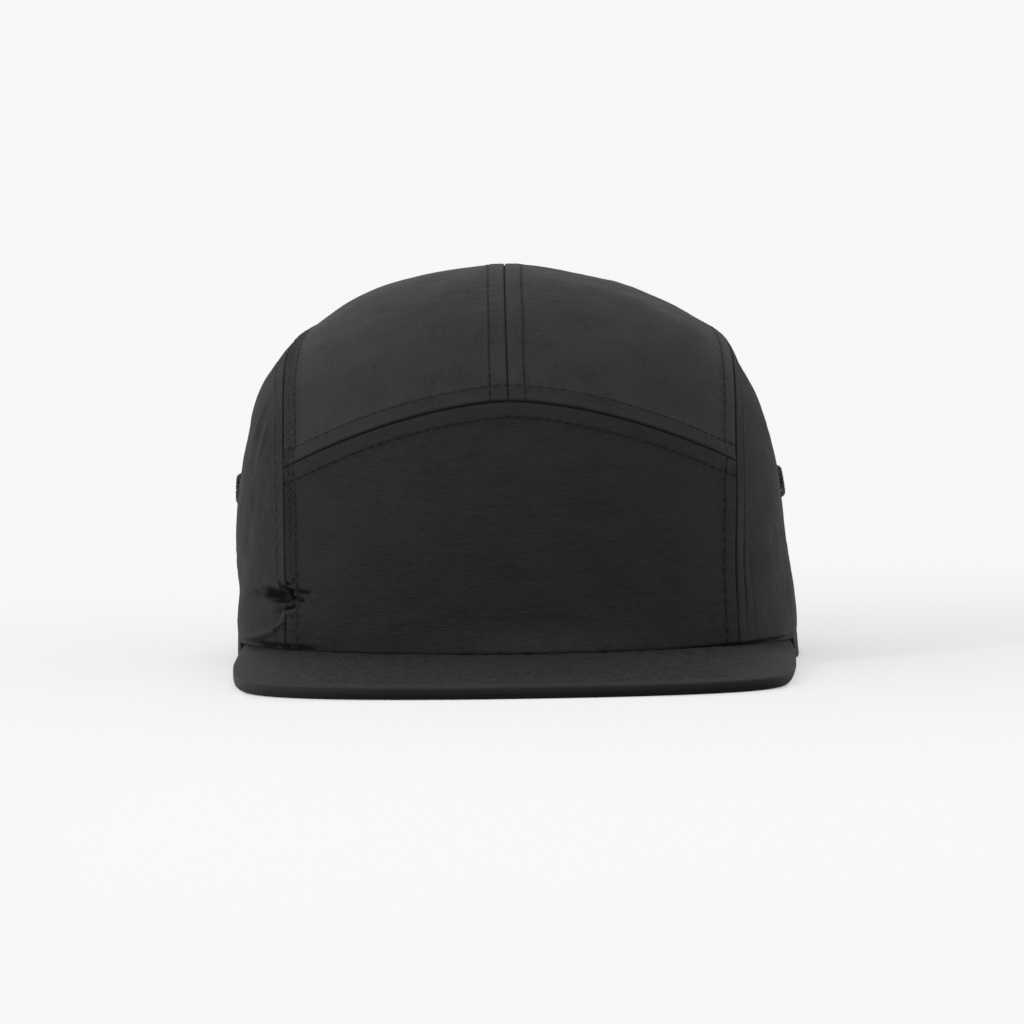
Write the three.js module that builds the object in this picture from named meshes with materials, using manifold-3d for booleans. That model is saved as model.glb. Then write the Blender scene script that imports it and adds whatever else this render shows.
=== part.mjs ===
// A five panel cap in thin woven nylon: a front panel under an arched seam, two top panels that meet on a
// centre seam, two side panels that wrap round to an opening at the back, a short flat peak, a sweatband,
// a thread eyelet in each side panel, and an adjusting strap with its clip across the back opening.
// Millimetres, +Z up. The peak points along -Y, and +X is the right-hand side seen from the front.
import * as THREE from 'three';
import { mergeVertices } from 'three/addons/utils/BufferGeometryUtils.js';
import Module from 'manifold-3d';

// Cloth and seams
const CLOTH = 1.4; // wall of the crown: the nylon and its fused backing
const SEAM_GAP = 0.3; // gap between neighbouring pieces
const SEAM_DITCH_DEPTH = 0.6; // how far a panel's edge turns in at a seam
const SEAM_DITCH_WIDTH = 1.3; // how far from the seam that turn starts
const ARCH_CREST = 1.0; // how far the crown is drawn out along the arched seam
const SIDE_CREST = 0.7; // the same along the side seams
const CREST_WIDTH = 13; // how far from a seam its crest fades out

// Crown, measured on its outer face
const CROWN_HALF_WIDTH = 86;
const CROWN_FRONT = 97; // from the middle of the crown to its front
const CROWN_BACK = 97; // from the middle of the crown to its back
const CROWN_HEIGHT = 120.5;
const CROWN_LEAN = -2.5; // how far the soft crown leans sideways at its top
const RIM_SQUARENESS = 2.3; // exponent of the oval at the rim, 2 is an ellipse
const TOP_SQUARENESS = 2.05; // exponent of the oval at the top

// Level sections from the top to the rim, evenly spaced along the wall, as shares of the crown's sizes
const CROWN_SECTIONS = [
  { height: 1.0, left: 0.0, right: 0.0, front: 0.0, back: 0.0 },
  { height: 0.982, left: 0.25, right: 0.224, front: 0.238, back: 0.243 },
  { height: 0.932, left: 0.489, right: 0.47, front: 0.44, back: 0.45 },
  { height: 0.846, left: 0.688, right: 0.704, front: 0.64, back: 0.648 },
  { height: 0.713, left: 0.861, right: 0.854, front: 0.815, back: 0.805 },
  { height: 0.537, left: 0.941, right: 0.938, front: 0.905, back: 0.91 },
  { height: 0.36, left: 0.974, right: 0.974, front: 0.95, back: 0.968 },
  { height: 0.181, left: 0.988, right: 0.989, front: 0.98, back: 0.992 },
  { height: 0.0, left: 1.0, right: 1.0, front: 1.0, back: 1.0 },
];

// Front panel
const FRONT_PANEL_HALF_WIDTH = 65.5; // from its middle to the side seam
const SEAM_SHIFT = -1.3; // how far the middle of the panels lies to the side of the crown's
const ARCH_HEIGHT = 79.1; // height of the arched seam in the middle
const ARCH_DROP = 18.9; // how much lower it is at the side seams
const ARCH_POWER = 1.7; // how it falls away from the middle

// Back opening and the ends of the side seams on it
const OPENING_HALF_WIDTH = 33;
const OPENING_HEIGHT = 44;
const OPENING_SQUARENESS = 2.5;
const SEAM_BACK_HALF_WIDTH = 24;

// Side seams, from the front rim over the top to the back opening: how far they have come inwards, from the
// front panel's half width (0) to their half width at the back opening (1)
const SIDE_SEAM = [
  { along: 0.0, inward: 0.0 },
  { along: 0.25, inward: -0.035 },
  { along: 0.45, inward: -0.05 },
  { along: 0.6, inward: 0.08 },
  { along: 0.75, inward: 0.36 },
  { along: 0.9, inward: 0.77 },
  { along: 1.0, inward: 1.0 },
];

// Peak
const PEAK_LENGTH = 69; // in front of the crown
const PEAK_THICKNESS = 3.3; // board with its cloth
const PEAK_BEVEL = 0.9; // rounding of its upper edge
const PEAK_UNDER_BEVEL = 0.2; // rounding of its lower edge, as a share of the upper one
const PEAK_CORNER_THICKNESS = 2.4; // at its two ends, where the board stops
const PEAK_CORNER_AZIMUTH = 73; // degrees from the front to its ends on the rim
const PEAK_CORNER_REACH = 1.9; // how far its ends stand out of the crown
const PEAK_TAPER = 0.14; // how much narrower it is at its front, as a share of its width
const PEAK_SQUARENESS = 9.5; // exponent of its front corners
const PEAK_ROOT_LIFT = 3.7; // its underside above the floor in the middle of the crown's front
const PEAK_CORNER_LIFT = 2.6; // its underside above the floor at its ends
const RIM_STEP = 3.5; // length over which the rim comes down to the floor behind the peak's ends
const RIM_STEP_CLEARANCE = 1.2; // from the peak's end to the start of that step

// Sweatband
const SWEATBAND_WIDTH = 30;
const SWEATBAND_THICKNESS = 1.2;
const SWEATBAND_LIFT = 0.6; // its lower edge above the floor
const SWEATBAND_SLACK = 2.2; // how far it hangs free of the cloth above its sewn lower edge
const SWEATBAND_ROWS = [
  { up: 0.0, slack: 0.0 },
  { up: 0.2, slack: 0.25 },
  { up: 0.45, slack: 0.95 },
  { up: 1.0, slack: 1.0 },
];

// Strap and clip
const STRAP_WIDTH = 20;
const STRAP_THICKNESS = 1.3;
const STRAP_LIFT = 2.6; // its lower edge above the floor
const STRAP_OVERLAP = 12; // length sewn behind each side panel
const CLIP_LENGTH = 24;
const CLIP_WALL = 1.8;
const CLIP_CORNER = 1.2; // rounding of its outer section

// Eyelets
const EYELET_HEIGHT = 52.7; // centre above the floor
const EYELET_AZIMUTH = 90; // degrees from the front
const EYELET_BORE = 1.9; // radius of the clear hole
const EYELET_THREAD = 0.9; // thread between the hole and the cloth's cut edge
const EYELET_RADIUS = 4.7; // outer radius of the thread ring
const EYELET_RISE = 1.0; // thickness of the ring on the outside of the cloth
const EYELET_BACK_RISE = 0.7; // thickness of the ring on the inside of the cloth

// Dents and puffs of the soft cloth, seen from the front, as shares of the crown's half width and height.
// Depth is in millimetres, and is negative where the cloth puffs out.
const DENTS = [
  { x: -0.8, z: 0.175, across: 0.13, up: 0.05, depth: 1.7 }, // pinch on the left side seam
  { x: -0.89, z: 0.085, across: 0.11, up: 0.045, depth: -0.8 }, // puff below it, beside the seam
  { x: 0.45, z: 0.25, across: 0.33, up: 0.12, depth: 1.3 }, // hollow low on the front panel
  { x: 0.05, z: 0.115, across: 0.5, up: 0.045, depth: -0.7 }, // puff above the peak
  { x: -0.5, z: 0.86, across: 0.22, up: 0.05, depth: 0.7 }, // soft hollow in the left top panel
  { x: 0.62, z: 0.8, across: 0.13, up: 0.07, depth: -0.7 }, // puff in the right top panel
];

// Fineness of the faceted solids
const CURVE_STEPS = 192;
const SEARCH_STEPS = 40;
const FRONT_CELLS = { across: 20, up: 12 };
const TOP_CELLS = { across: 7, up: 30 };
const SIDE_CELLS = { beforePeakEnd: 4, behindPeakEnd: 17, up: 12 };
const ROW_BUNCHING = 1.35;
const PEAK_CELLS = { across: 36, along: 7 };
const BAND_CELLS = 56;
const STRAP_CELLS = 16;
const CLIP_CELLS = 6;
const EYELET_CELLS = 24;
const NUDGE = 1e-3; // step in the unit disk for slopes

const { clamp, degToRad, lerp } = THREE.MathUtils;

const CLOTH_COLOUR = 0x26272a;
const DARK_COLOUR = 0x17181a;

// The crown's outer face. Its points are named by a place in the unit disk: the middle is the top of the crown,
// the edge is the rim and -y is the front.

// A column of the section table at a share of the way from the top (0) to the rim (1), as a smooth curve.
function sectionValue(column, turn) {
  const last = CROWN_SECTIONS.length - 1;
  const mirror = column === 'height' ? 1 : -1;
  const value = (i) => {
    if (i < 0) return mirror * CROWN_SECTIONS[-i][column];
    if (i > last) return 2 * CROWN_SECTIONS[last][column] - CROWN_SECTIONS[last - 1][column];
    return CROWN_SECTIONS[i][column];
  };
  const cell = clamp(Math.floor(turn * last), 0, last - 1);
  const t = turn * last - cell;
  const [a, b, c, d] = [value(cell - 1), value(cell), value(cell + 1), value(cell + 2)];
  return b + 0.5 * t * (c - a + t * (2 * a - 5 * b + 4 * c - d + t * (3 * (b - c) + d - a)));
}

// The value of a falling function's input, between low and high, at which it reaches a target.
function solveFalling(fn, target, low, high) {
  for (let i = 0; i < SEARCH_STEPS; i++) {
    const middle = (low + high) / 2;
    if (fn(middle) > target) low = middle;
    else high = middle;
  }
  return (low + high) / 2;
}

const turnAtHeight = (z) => solveFalling((turn) => sectionValue('height', turn) * CROWN_HEIGHT, z, 0, 1);

// How far the crown leans at a height: most of it low down, then easing off.
const lean = (z) => CROWN_LEAN * (z / CROWN_HEIGHT) * (2 - z / CROWN_HEIGHT);

// The level oval at one turn: its reach on the side that a direction points to, and its exponent.
function ovalAt(turn, x, y) {
  return {
    halfWidth: CROWN_HALF_WIDTH * sectionValue(x < 0 ? 'left' : 'right', turn),
    reach: y < 0 ? CROWN_FRONT * sectionValue('front', turn) : CROWN_BACK * sectionValue('back', turn),
    power: lerp(TOP_SQUARENESS, RIM_SQUARENESS, turn),
  };
}

// The smooth crown, before its dents.
function smoothCrown(disk) {
  const turn = Math.max(disk.length(), 1e-9);
  const sx = disk.x / turn;
  const sy = disk.y / turn;
  const { halfWidth, reach, power } = ovalAt(turn, disk.x, disk.y);
  const scale = (Math.abs(sx) ** power + Math.abs(sy) ** power) ** (-1 / power);
  const z = CROWN_HEIGHT * sectionValue('height', turn);
  return new THREE.Vector3(halfWidth * scale * sx + lean(z), reach * scale * sy, z);
}

function crownNormal(disk) {
  const step = (dx, dy) => smoothCrown(new THREE.Vector2(disk.x + dx * NUDGE, disk.y + dy * NUDGE));
  const along = step(1, 0).sub(step(-1, 0));
  const across = step(0, 1).sub(step(0, -1));
  return along.cross(across).normalize();
}

// How deep the dents are at a point on the front half of the crown.
function dentDepth(point) {
  if (point.y > 0) return 0;
  return DENTS.reduce((sum, dent) => {
    const across = (point.x / CROWN_HALF_WIDTH - dent.x) / dent.across;
    const up = (point.z / CROWN_HEIGHT - dent.z) / dent.up;
    return sum + dent.depth * Math.exp(-across * across - up * up);
  }, 0);
}

// A point at a depth below the crown's outer face.
function wallPoint(disk, depth) {
  const point = smoothCrown(disk);
  return point.addScaledVector(crownNormal(disk), -depth - dentDepth(point));
}

// A point at a level depth below the smooth crown, as the pieces along the rim lie.
function rimPoint(disk, depth) {
  return smoothCrown(disk).addScaledVector(crownNormal(disk).setZ(0).normalize(), -depth);
}

// The disk place seen from the front, or from the back, at a distance from the middle and a height.
function diskAtView(x, z, facing) {
  const turn = turnAtHeight(z);
  const { halfWidth, power } = ovalAt(turn, x, facing);
  const share = clamp((x - lean(z)) / halfWidth, -1, 1);
  const depth = facing * (1 - Math.abs(share) ** power) ** (1 / power);
  return new THREE.Vector2(share, depth).setLength(turn);
}

// The disk place at an azimuth in degrees from the front, positive to the right, and a height.
function diskAtAzimuth(azimuth, z) {
  const angle = degToRad(azimuth);
  return new THREE.Vector2(Math.sin(angle), -Math.cos(angle)).multiplyScalar(turnAtHeight(z));
}

const azimuthOf = (disk) => THREE.MathUtils.radToDeg(Math.atan2(disk.x, -disk.y));

// Curves in the disk, as functions from 0 to 1.

// The same curve, stepped evenly along its length on the crown.
function evenCurve(curve) {
  const places = Array.from({ length: CURVE_STEPS + 1 }, (_, i) => curve(i / CURVE_STEPS));
  const lengths = [0];
  for (let i = 1; i <= CURVE_STEPS; i++) {
    const step = smoothCrown(places[i]).distanceTo(smoothCrown(places[i - 1]));
    lengths.push(lengths[i - 1] + step);
  }
  const total = lengths[CURVE_STEPS];
  const even = (share) => {
    const wanted = clamp(share, 0, 1) * total;
    const cell = clamp(lengths.findIndex((length) => length >= wanted), 1, CURVE_STEPS);
    const t = (wanted - lengths[cell - 1]) / (lengths[cell] - lengths[cell - 1]);
    return places[cell - 1].clone().lerp(places[cell], t);
  };
  return Object.assign(even, { total });
}

// A value from a table of rows, straight between rows after an eased start and end.
function tableValue(rows, at, column, share) {
  const next = clamp(rows.findIndex((row) => row[at] >= share), 1, rows.length - 1);
  const [a, b, c, d] = [next - 2, next - 1, next, next + 1].map(
    (i) => rows[clamp(i, 0, rows.length - 1)][column],
  );
  const t = (share - rows[next - 1][at]) / (rows[next][at] - rows[next - 1][at]);
  return b + 0.5 * t * (c - a + t * (2 * a - 5 * b + 4 * c - d + t * (3 * (b - c) + d - a)));
}

const peakRootShare = (azimuth) => clamp(Math.abs(azimuth) / PEAK_CORNER_AZIMUTH, 0, 1) ** 2;
const peakLift = (azimuth) => lerp(PEAK_ROOT_LIFT, PEAK_CORNER_LIFT, peakRootShare(azimuth));
const peakThickness = (azimuth) => lerp(PEAK_THICKNESS, PEAK_CORNER_THICKNESS, peakRootShare(azimuth) ** 2);
const rimAbovePeak = (azimuth) => peakLift(azimuth) + peakThickness(azimuth) + SEAM_GAP;

// A place on a seam, by its distance from the middle of the panels.
const seamAtView = (x, z, facing) => diskAtView(x + SEAM_SHIFT, z, facing);

// Where the side seam meets the rim above the peak.
function frontCorner(side) {
  const x = side * FRONT_PANEL_HALF_WIDTH;
  const low = seamAtView(x, rimAbovePeak(PEAK_CORNER_AZIMUTH), -1);
  return seamAtView(x, rimAbovePeak(azimuthOf(low)), -1);
}

function archPoint(x) {
  const share = Math.abs(x) / FRONT_PANEL_HALF_WIDTH;
  return seamAtView(x, ARCH_HEIGHT - ARCH_DROP * share ** ARCH_POWER, -1);
}

function openingPoint(x) {
  const share = Math.min(Math.abs(x) / OPENING_HALF_WIDTH, 1);
  const z = OPENING_HEIGHT * (1 - share ** OPENING_SQUARENESS) ** (1 / OPENING_SQUARENESS);
  return seamAtView(x, z, 1);
}

// The angle of a disk place about the crown's sideways axis: 0 at the front, 90 straight up, 180 at the back.
function pitchOf(disk) {
  const { y, z } = smoothCrown(disk);
  return Math.atan2(z, -y);
}

// The disk place on the crown at a distance from the middle and an angle about the sideways axis.
function diskAtPitch(x, pitch) {
  const inside = (radius) => {
    const z = radius * Math.sin(pitch);
    if (z >= CROWN_HEIGHT) return 0;
    const turn = turnAtHeight(z);
    const { halfWidth, reach, power } = ovalAt(turn, x, -Math.cos(pitch));
    const share = Math.abs((x - lean(z)) / halfWidth) ** power;
    return share + Math.abs((radius * Math.cos(pitch)) / reach) ** power < 1 ? 1 : 0;
  };
  const radius = solveFalling(inside, 0.5, 0, CROWN_FRONT + CROWN_BACK);
  const z = radius * Math.sin(pitch);
  const { halfWidth, reach } = ovalAt(turnAtHeight(z), x, -Math.cos(pitch));
  const place = new THREE.Vector2((x - lean(z)) / halfWidth, (-radius * Math.cos(pitch)) / reach);
  return place.setLength(turnAtHeight(z));
}

// The whole side seam on one side, from the rim above the peak to the back opening.
function sideSeam(side) {
  const start = pitchOf(frontCorner(side));
  const end = pitchOf(openingPoint(side * SEAM_BACK_HALF_WIDTH));
  return (share) => {
    const inward = tableValue(SIDE_SEAM, 'along', 'inward', share);
    const x = lerp(FRONT_PANEL_HALF_WIDTH, SEAM_BACK_HALF_WIDTH, inward);
    return diskAtPitch(side * x + SEAM_SHIFT, lerp(start, end, share));
  };
}

// Where the arched seam meets the side seam, as a share along the side seam.
function archShare(seam, side) {
  const height = (share) => -smoothCrown(seam(share)).z;
  const target = smoothCrown(archPoint(side * FRONT_PANEL_HALF_WIDTH)).z;
  return solveFalling(height, -target, 0, 0.4);
}

const reversed = (curve) => (t) => curve(1 - t);
const part = (curve, from, to) => (t) => curve(lerp(from, to, t));

// The curves that bound the panels on one side. Every panel takes its edges from here, so they meet.
function seamsOn(side) {
  const whole = sideSeam(side);
  const split = archShare(whole, side);
  const corner = whole(split);
  const arch = (t) => {
    const place = archPoint(side * t * FRONT_PANEL_HALF_WIDTH);
    const miss = corner.clone().sub(archPoint(side * FRONT_PANEL_HALF_WIDTH));
    return place.addScaledVector(miss, t * t);
  };
  const centre = (t) => {
    const place = archPoint(0).lerp(openingPoint(0), t);
    return place.setX(place.x * (1 - Math.sin(Math.PI * t))); // through the top of the crown
  };
  return {
    lower: evenCurve(part(whole, 0, split)),
    upper: evenCurve(part(whole, split, 1)),
    arch: evenCurve(arch),
    centre: evenCurve(centre),
    openingTop: evenCurve((t) => openingPoint(side * t * SEAM_BACK_HALF_WIDTH)),
    openingSide: evenCurve((t) => openingPoint(side * lerp(SEAM_BACK_HALF_WIDTH, OPENING_HALF_WIDTH, t ** 0.5))),
  };
}

const SEAMS = { left: seamsOn(-1), right: seamsOn(1) };

// The height of the rim behind the peak's ends, by its distance from them along the rim.
function rimHeight(azimuth) {
  const millimetresPerDegree = degToRad(CROWN_HALF_WIDTH);
  const past = (Math.abs(azimuth) - PEAK_CORNER_AZIMUTH) * millimetresPerDegree - RIM_STEP_CLEARANCE;
  return rimAbovePeak(azimuth) * (1 - clamp(past / RIM_STEP, 0, 1));
}

const stepAzimuth = (distance) => PEAK_CORNER_AZIMUTH + distance / degToRad(CROWN_HALF_WIDTH);

// The rim from one azimuth to another.
const rim = (from, to) => (t) => {
  const azimuth = lerp(from, to, t);
  return diskAtAzimuth(azimuth, rimHeight(azimuth));
};

// Panels

// A patch between four curves, as a function of its two shares.
function patch({ bottom, top, left, right }) {
  return (u, v) => {
    const place = bottom(u).multiplyScalar(1 - v).addScaledVector(top(u), v);
    place.addScaledVector(left(v), 1 - u).addScaledVector(right(v), u);
    place.addScaledVector(left(0), -(1 - u) * (1 - v)).addScaledVector(right(0), -u * (1 - v));
    return place.addScaledVector(left(1), -(1 - u) * v).addScaledVector(right(1), -u * v);
  };
}

function lineLength(place) {
  const steps = 12;
  let length = 0;
  for (let i = 0; i < steps; i++) {
    length += smoothCrown(place(i / steps)).distanceTo(smoothCrown(place((i + 1) / steps)));
  }
  return length;
}

// Shares of the way across a panel for its grid lines: one at each edge, one where each seam's turn starts, and
// the given inner ones. A seam's edge keeps half the seam gap.
function gridShares(length, inner, startsOnSeam, endsOnSeam) {
  const gap = SEAM_GAP / 2 / length;
  const turn = gap + SEAM_DITCH_WIDTH / length;
  const start = startsOnSeam ? [gap, turn] : [0];
  const end = endsOnSeam ? [1 - turn, 1 - gap] : [1];
  return [...start, ...inner, ...end];
}

const evenShares = (cells) => Array.from({ length: cells - 1 }, (_, i) => (i + 1) / cells);

// Shares that bunch up towards the rim, where the cloth's dents are.
const bunchedShares = (cells) => evenShares(cells).map((share) => share ** ROW_BUNCHING);

// How far the outer face stands out at given distances from the seams: drawn out along each seam, then turned in.
function seamRelief(distances, crests) {
  let relief = 0;
  let ditch = 0;
  Object.entries(distances).forEach(([edge, distance]) => {
    if (crests[edge] === undefined) return;
    relief = Math.max(relief, crests[edge] * clamp(1 - distance / CREST_WIDTH, 0, 1) ** 2);
    ditch = Math.max(ditch, SEAM_DITCH_DEPTH * clamp(1 - distance / SEAM_DITCH_WIDTH, 0, 1));
  });
  return relief - ditch;
}

// The closed solid of one panel. crests holds the crest of each edge that is a seam, and the others are hems.
function panelSolid(edges, crests, innerAcross, innerUp) {
  const place = patch(edges);
  const onSeam = (edge) => crests[edge] !== undefined;
  const lengthUp = (u) => lineLength((t) => place(u, t));
  const lengthAcross = (v) => lineLength((t) => place(t, v));
  const columns = gridShares(lengthAcross(0.5), innerAcross, onSeam('left'), onSeam('right'));
  const rows = gridShares(lengthUp(0.5), innerUp, onSeam('bottom'), onSeam('top'));
  const outer = [];
  const inner = [];
  rows.forEach((rowShare, j) => {
    const across = lengthAcross(rowShare);
    const shares = gridShares(across, innerAcross, onSeam('left'), onSeam('right'));
    outer.push([]);
    inner.push([]);
    columns.forEach((columnShare, i) => {
      const up = lengthUp(columnShare);
      const u = shares[i];
      const v = gridShares(up, innerUp, onSeam('bottom'), onSeam('top'))[j];
      const disk = place(u, v);
      const distances = { left: u * across, right: (1 - u) * across, bottom: v * up, top: (1 - v) * up };
      const isRim = j === 0 && !onSeam('bottom');
      const pointAt = isRim ? rimPoint : wallPoint;
      outer[j].push(pointAt(disk, -seamRelief(distances, crests)));
      inner[j].push(pointAt(disk, CLOTH));
    });
  });
  return closedShell(outer, inner);
}

// A closed solid between two grids of points, with its faces turned out.
function closedShell(outer, inner) {
  const rows = outer.length;
  const columns = outer[0].length;
  const triangles = [];
  const quad = (a, b, c, d) => triangles.push(a, b, c, a, c, d);
  for (let j = 0; j + 1 < rows; j++) {
    for (let i = 0; i + 1 < columns; i++) {
      quad(outer[j][i], outer[j][i + 1], outer[j + 1][i + 1], outer[j + 1][i]);
      quad(inner[j][i], inner[j + 1][i], inner[j + 1][i + 1], inner[j][i + 1]);
    }
    quad(outer[j][0], outer[j + 1][0], inner[j + 1][0], inner[j][0]);
    quad(outer[j][columns - 1], inner[j][columns - 1], inner[j + 1][columns - 1], outer[j + 1][columns - 1]);
  }
  for (let i = 0; i + 1 < columns; i++) {
    quad(outer[0][i], inner[0][i], inner[0][i + 1], outer[0][i + 1]);
    quad(outer[rows - 1][i], outer[rows - 1][i + 1], inner[rows - 1][i + 1], inner[rows - 1][i]);
  }
  return facingOut(triangles);
}

function facingOut(triangles) {
  let volume = 0;
  for (let i = 0; i < triangles.length; i += 3) {
    volume += triangles[i].dot(triangles[i + 1].clone().cross(triangles[i + 2]));
  }
  const ordered = volume > 0 ? triangles : triangles.slice().reverse();
  return new THREE.BufferGeometry().setFromPoints(ordered);
}

function frontPanel() {
  const { left, right } = SEAMS;
  const from = azimuthOf(left.lower(0));
  const to = azimuthOf(right.lower(0));
  const top = evenCurve((t) => (t < 0.5 ? left.arch(1 - 2 * t) : right.arch(2 * t - 1)));
  const edges = { bottom: evenCurve(rim(from, to)), top, left: left.lower, right: right.lower };
  const crests = { top: ARCH_CREST, left: SIDE_CREST, right: SIDE_CREST };
  return panelSolid(edges, crests, evenShares(FRONT_CELLS.across), bunchedShares(FRONT_CELLS.up));
}

function topPanel(seams) {
  const edges = { bottom: seams.arch, top: seams.openingTop, left: seams.centre, right: seams.upper };
  const crests = { bottom: ARCH_CREST, left: 0, right: SIDE_CREST };
  return panelSolid(edges, crests, evenShares(TOP_CELLS.across), evenShares(TOP_CELLS.up));
}

function sidePanel(seams, side) {
  const from = azimuthOf(seams.lower(0));
  const to = azimuthOf(seams.openingSide(1));
  const bottom = evenCurve(rim(from, to));
  const shareAt = (azimuth) => evenCurve(rim(from, side * azimuth)).total / bottom.total;
  const stepStart = shareAt(stepAzimuth(RIM_STEP_CLEARANCE));
  const stepEnd = shareAt(stepAzimuth(RIM_STEP_CLEARANCE + RIM_STEP));
  const first = evenShares(SIDE_CELLS.beforePeakEnd).map((share) => share * stepStart);
  const rest = evenShares(SIDE_CELLS.behindPeakEnd).map((share) => lerp(stepEnd, 1, share));
  const innerAcross = [...first, stepStart, stepEnd, ...rest];
  const edges = { bottom, top: seams.upper, left: seams.lower, right: reversed(seams.openingSide) };
  return panelSolid(edges, { left: SIDE_CREST, top: SIDE_CREST }, innerAcross, bunchedShares(SIDE_CELLS.up));
}

// Pieces along the rim

// A closed band below the crown's outer face, between two azimuths. Its rows hold their height and depth.
function rimBand(from, to, rows, thickness, cells) {
  const azimuths = Array.from({ length: cells + 1 }, (_, i) => lerp(from, to, i / cells));
  const grid = (extra) =>
    rows.map(({ height, depth }) => azimuths.map((azimuth) => rimPoint(diskAtAzimuth(azimuth, height), depth + extra)));
  return closedShell(grid(0), grid(thickness));
}

const BAND_DEPTH = CLOTH + SEAM_GAP;
const strapEndAzimuth = azimuthOf(diskAtView(OPENING_HALF_WIDTH + STRAP_OVERLAP, 0, 1));

function sweatband() {
  const end = azimuthOf(diskAtView(OPENING_HALF_WIDTH + STRAP_OVERLAP + SEAM_GAP, 0, 1));
  const rows = SWEATBAND_ROWS.map(({ up, slack }) => ({
    height: SWEATBAND_LIFT + up * SWEATBAND_WIDTH,
    depth: BAND_DEPTH + slack * SWEATBAND_SLACK,
  }));
  return rimBand(-end, end, rows, SWEATBAND_THICKNESS, BAND_CELLS);
}

function backStrap() {
  const rows = [STRAP_LIFT, STRAP_LIFT + STRAP_WIDTH].map((height) => ({ height, depth: BAND_DEPTH }));
  return rimBand(strapEndAzimuth, 360 - strapEndAzimuth, rows, STRAP_THICKNESS, STRAP_CELLS);
}

// The clip: a sleeve round the strap in the middle of the opening.
function strapClip() {
  const degrees = CLIP_LENGTH / degToRad(CROWN_BACK);
  const inner = {
    depths: [BAND_DEPTH - SEAM_GAP, BAND_DEPTH + STRAP_THICKNESS + SEAM_GAP],
    heights: [STRAP_LIFT - SEAM_GAP, STRAP_LIFT + STRAP_WIDTH + SEAM_GAP],
  };
  const outer = {
    depths: [inner.depths[0] - CLIP_WALL, inner.depths[1] + CLIP_WALL],
    heights: [inner.heights[0] - CLIP_WALL, inner.heights[1] + CLIP_WALL],
  };
  const loop = ({ depths: [d0, d1], heights: [z0, z1] }, corner) => [
    [d0 + corner, z0], [d1 - corner, z0], [d1, z0 + corner], [d1, z1 - corner],
    [d1 - corner, z1], [d0 + corner, z1], [d0, z1 - corner], [d0, z0 + corner],
  ];
  // The base of the crown's wall at the clip, on which the strap lies.
  const place = (azimuth, [depth, z]) => rimPoint(diskAtAzimuth(azimuth, Math.max(z, 0)), depth).setZ(z);
  const grid = (section) =>
    Array.from({ length: CLIP_CELLS + 1 }, (_, i) => {
      const azimuth = 180 + degrees * (i / CLIP_CELLS - 0.5);
      return [...section, section[0]].map((point) => place(azimuth, point));
    });
  return closedSleeve(grid(loop(outer, CLIP_CORNER)), grid(loop(inner, SEAM_GAP)));
}

// A closed solid between two nested tubes of the same stations.
function closedSleeve(outer, inner) {
  const triangles = [];
  const quad = (a, b, c, d) => triangles.push(a, b, c, a, c, d);
  const last = outer.length - 1;
  for (let i = 0; i + 1 < outer[0].length; i++) {
    for (let j = 0; j < last; j++) {
      quad(outer[j][i], outer[j][i + 1], outer[j + 1][i + 1], outer[j + 1][i]);
      quad(inner[j][i], inner[j + 1][i], inner[j + 1][i + 1], inner[j][i + 1]);
    }
    quad(outer[0][i], inner[0][i], inner[0][i + 1], outer[0][i + 1]);
    quad(outer[last][i], outer[last][i + 1], inner[last][i + 1], inner[last][i]);
  }
  return facingOut(triangles);
}

// Peak: a flat board between the rim and a squarish outline.
function peak() {
  const cornerRim = rimPoint(diskAtAzimuth(PEAK_CORNER_AZIMUTH, 0), 0);
  const halfWidth = cornerRim.x + PEAK_CORNER_REACH;
  const reach = PEAK_LENGTH + CROWN_FRONT + cornerRim.y;
  const outline = (share) => {
    const angle = degToRad(90 * share);
    const forward = Math.cos(angle) ** (2 / PEAK_SQUARENESS);
    const x = halfWidth * (1 - PEAK_TAPER * forward) * Math.sin(angle);
    const y = cornerRim.y - reach * forward;
    return new THREE.Vector3(x, y, 0);
  };
  const evenOutline = evenPath(outline);
  const top = [];
  const bottom = [];
  const rows = [...evenShares(PEAK_CELLS.along), 1];
  [0, ...rows].forEach((v) => {
    top.push([]);
    bottom.push([]);
    for (let i = 0; i <= PEAK_CELLS.across; i++) {
      const share = (2 * i) / PEAK_CELLS.across - 1;
      const azimuth = share * PEAK_CORNER_AZIMUTH;
      const root = rimPoint(diskAtAzimuth(azimuth, peakLift(azimuth)), CLOTH);
      const edge = evenOutline(share);
      const length = root.distanceTo(edge);
      // The last two rows carry the bevel along the outer edge.
      const flat = Math.max(0, 1 - PEAK_BEVEL / length);
      const along = v === 1 ? 1 : (v / rows[rows.length - 2]) * flat;
      const bevel = v === 1 ? PEAK_BEVEL : 0;
      const lift = peakLift(azimuth) * (1 - along);
      const point = new THREE.Vector3(lerp(root.x, edge.x, along), lerp(root.y, edge.y, along), 0);
      bottom[bottom.length - 1].push(point.clone().setZ(lift + bevel * PEAK_UNDER_BEVEL));
      top[top.length - 1].push(point.clone().setZ(lift + peakThickness(azimuth) - bevel));
    }
  });
  return closedShell(top, bottom);
}

// A path in space from -1 to 1, stepped evenly along its length.
function evenPath(path) {
  const points = Array.from({ length: 2 * CURVE_STEPS + 1 }, (_, i) => path(i / CURVE_STEPS - 1));
  const lengths = points.map(() => 0);
  for (let i = 1; i < points.length; i++) lengths[i] = lengths[i - 1] + points[i].distanceTo(points[i - 1]);
  const total = lengths[points.length - 1];
  return (share) => {
    const wanted = ((share + 1) / 2) * total;
    const cell = clamp(lengths.findIndex((length) => length >= wanted), 1, points.length - 1);
    const t = (wanted - lengths[cell - 1]) / (lengths[cell] - lengths[cell - 1]);
    return points[cell - 1].clone().lerp(points[cell], t);
  };
}

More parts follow.
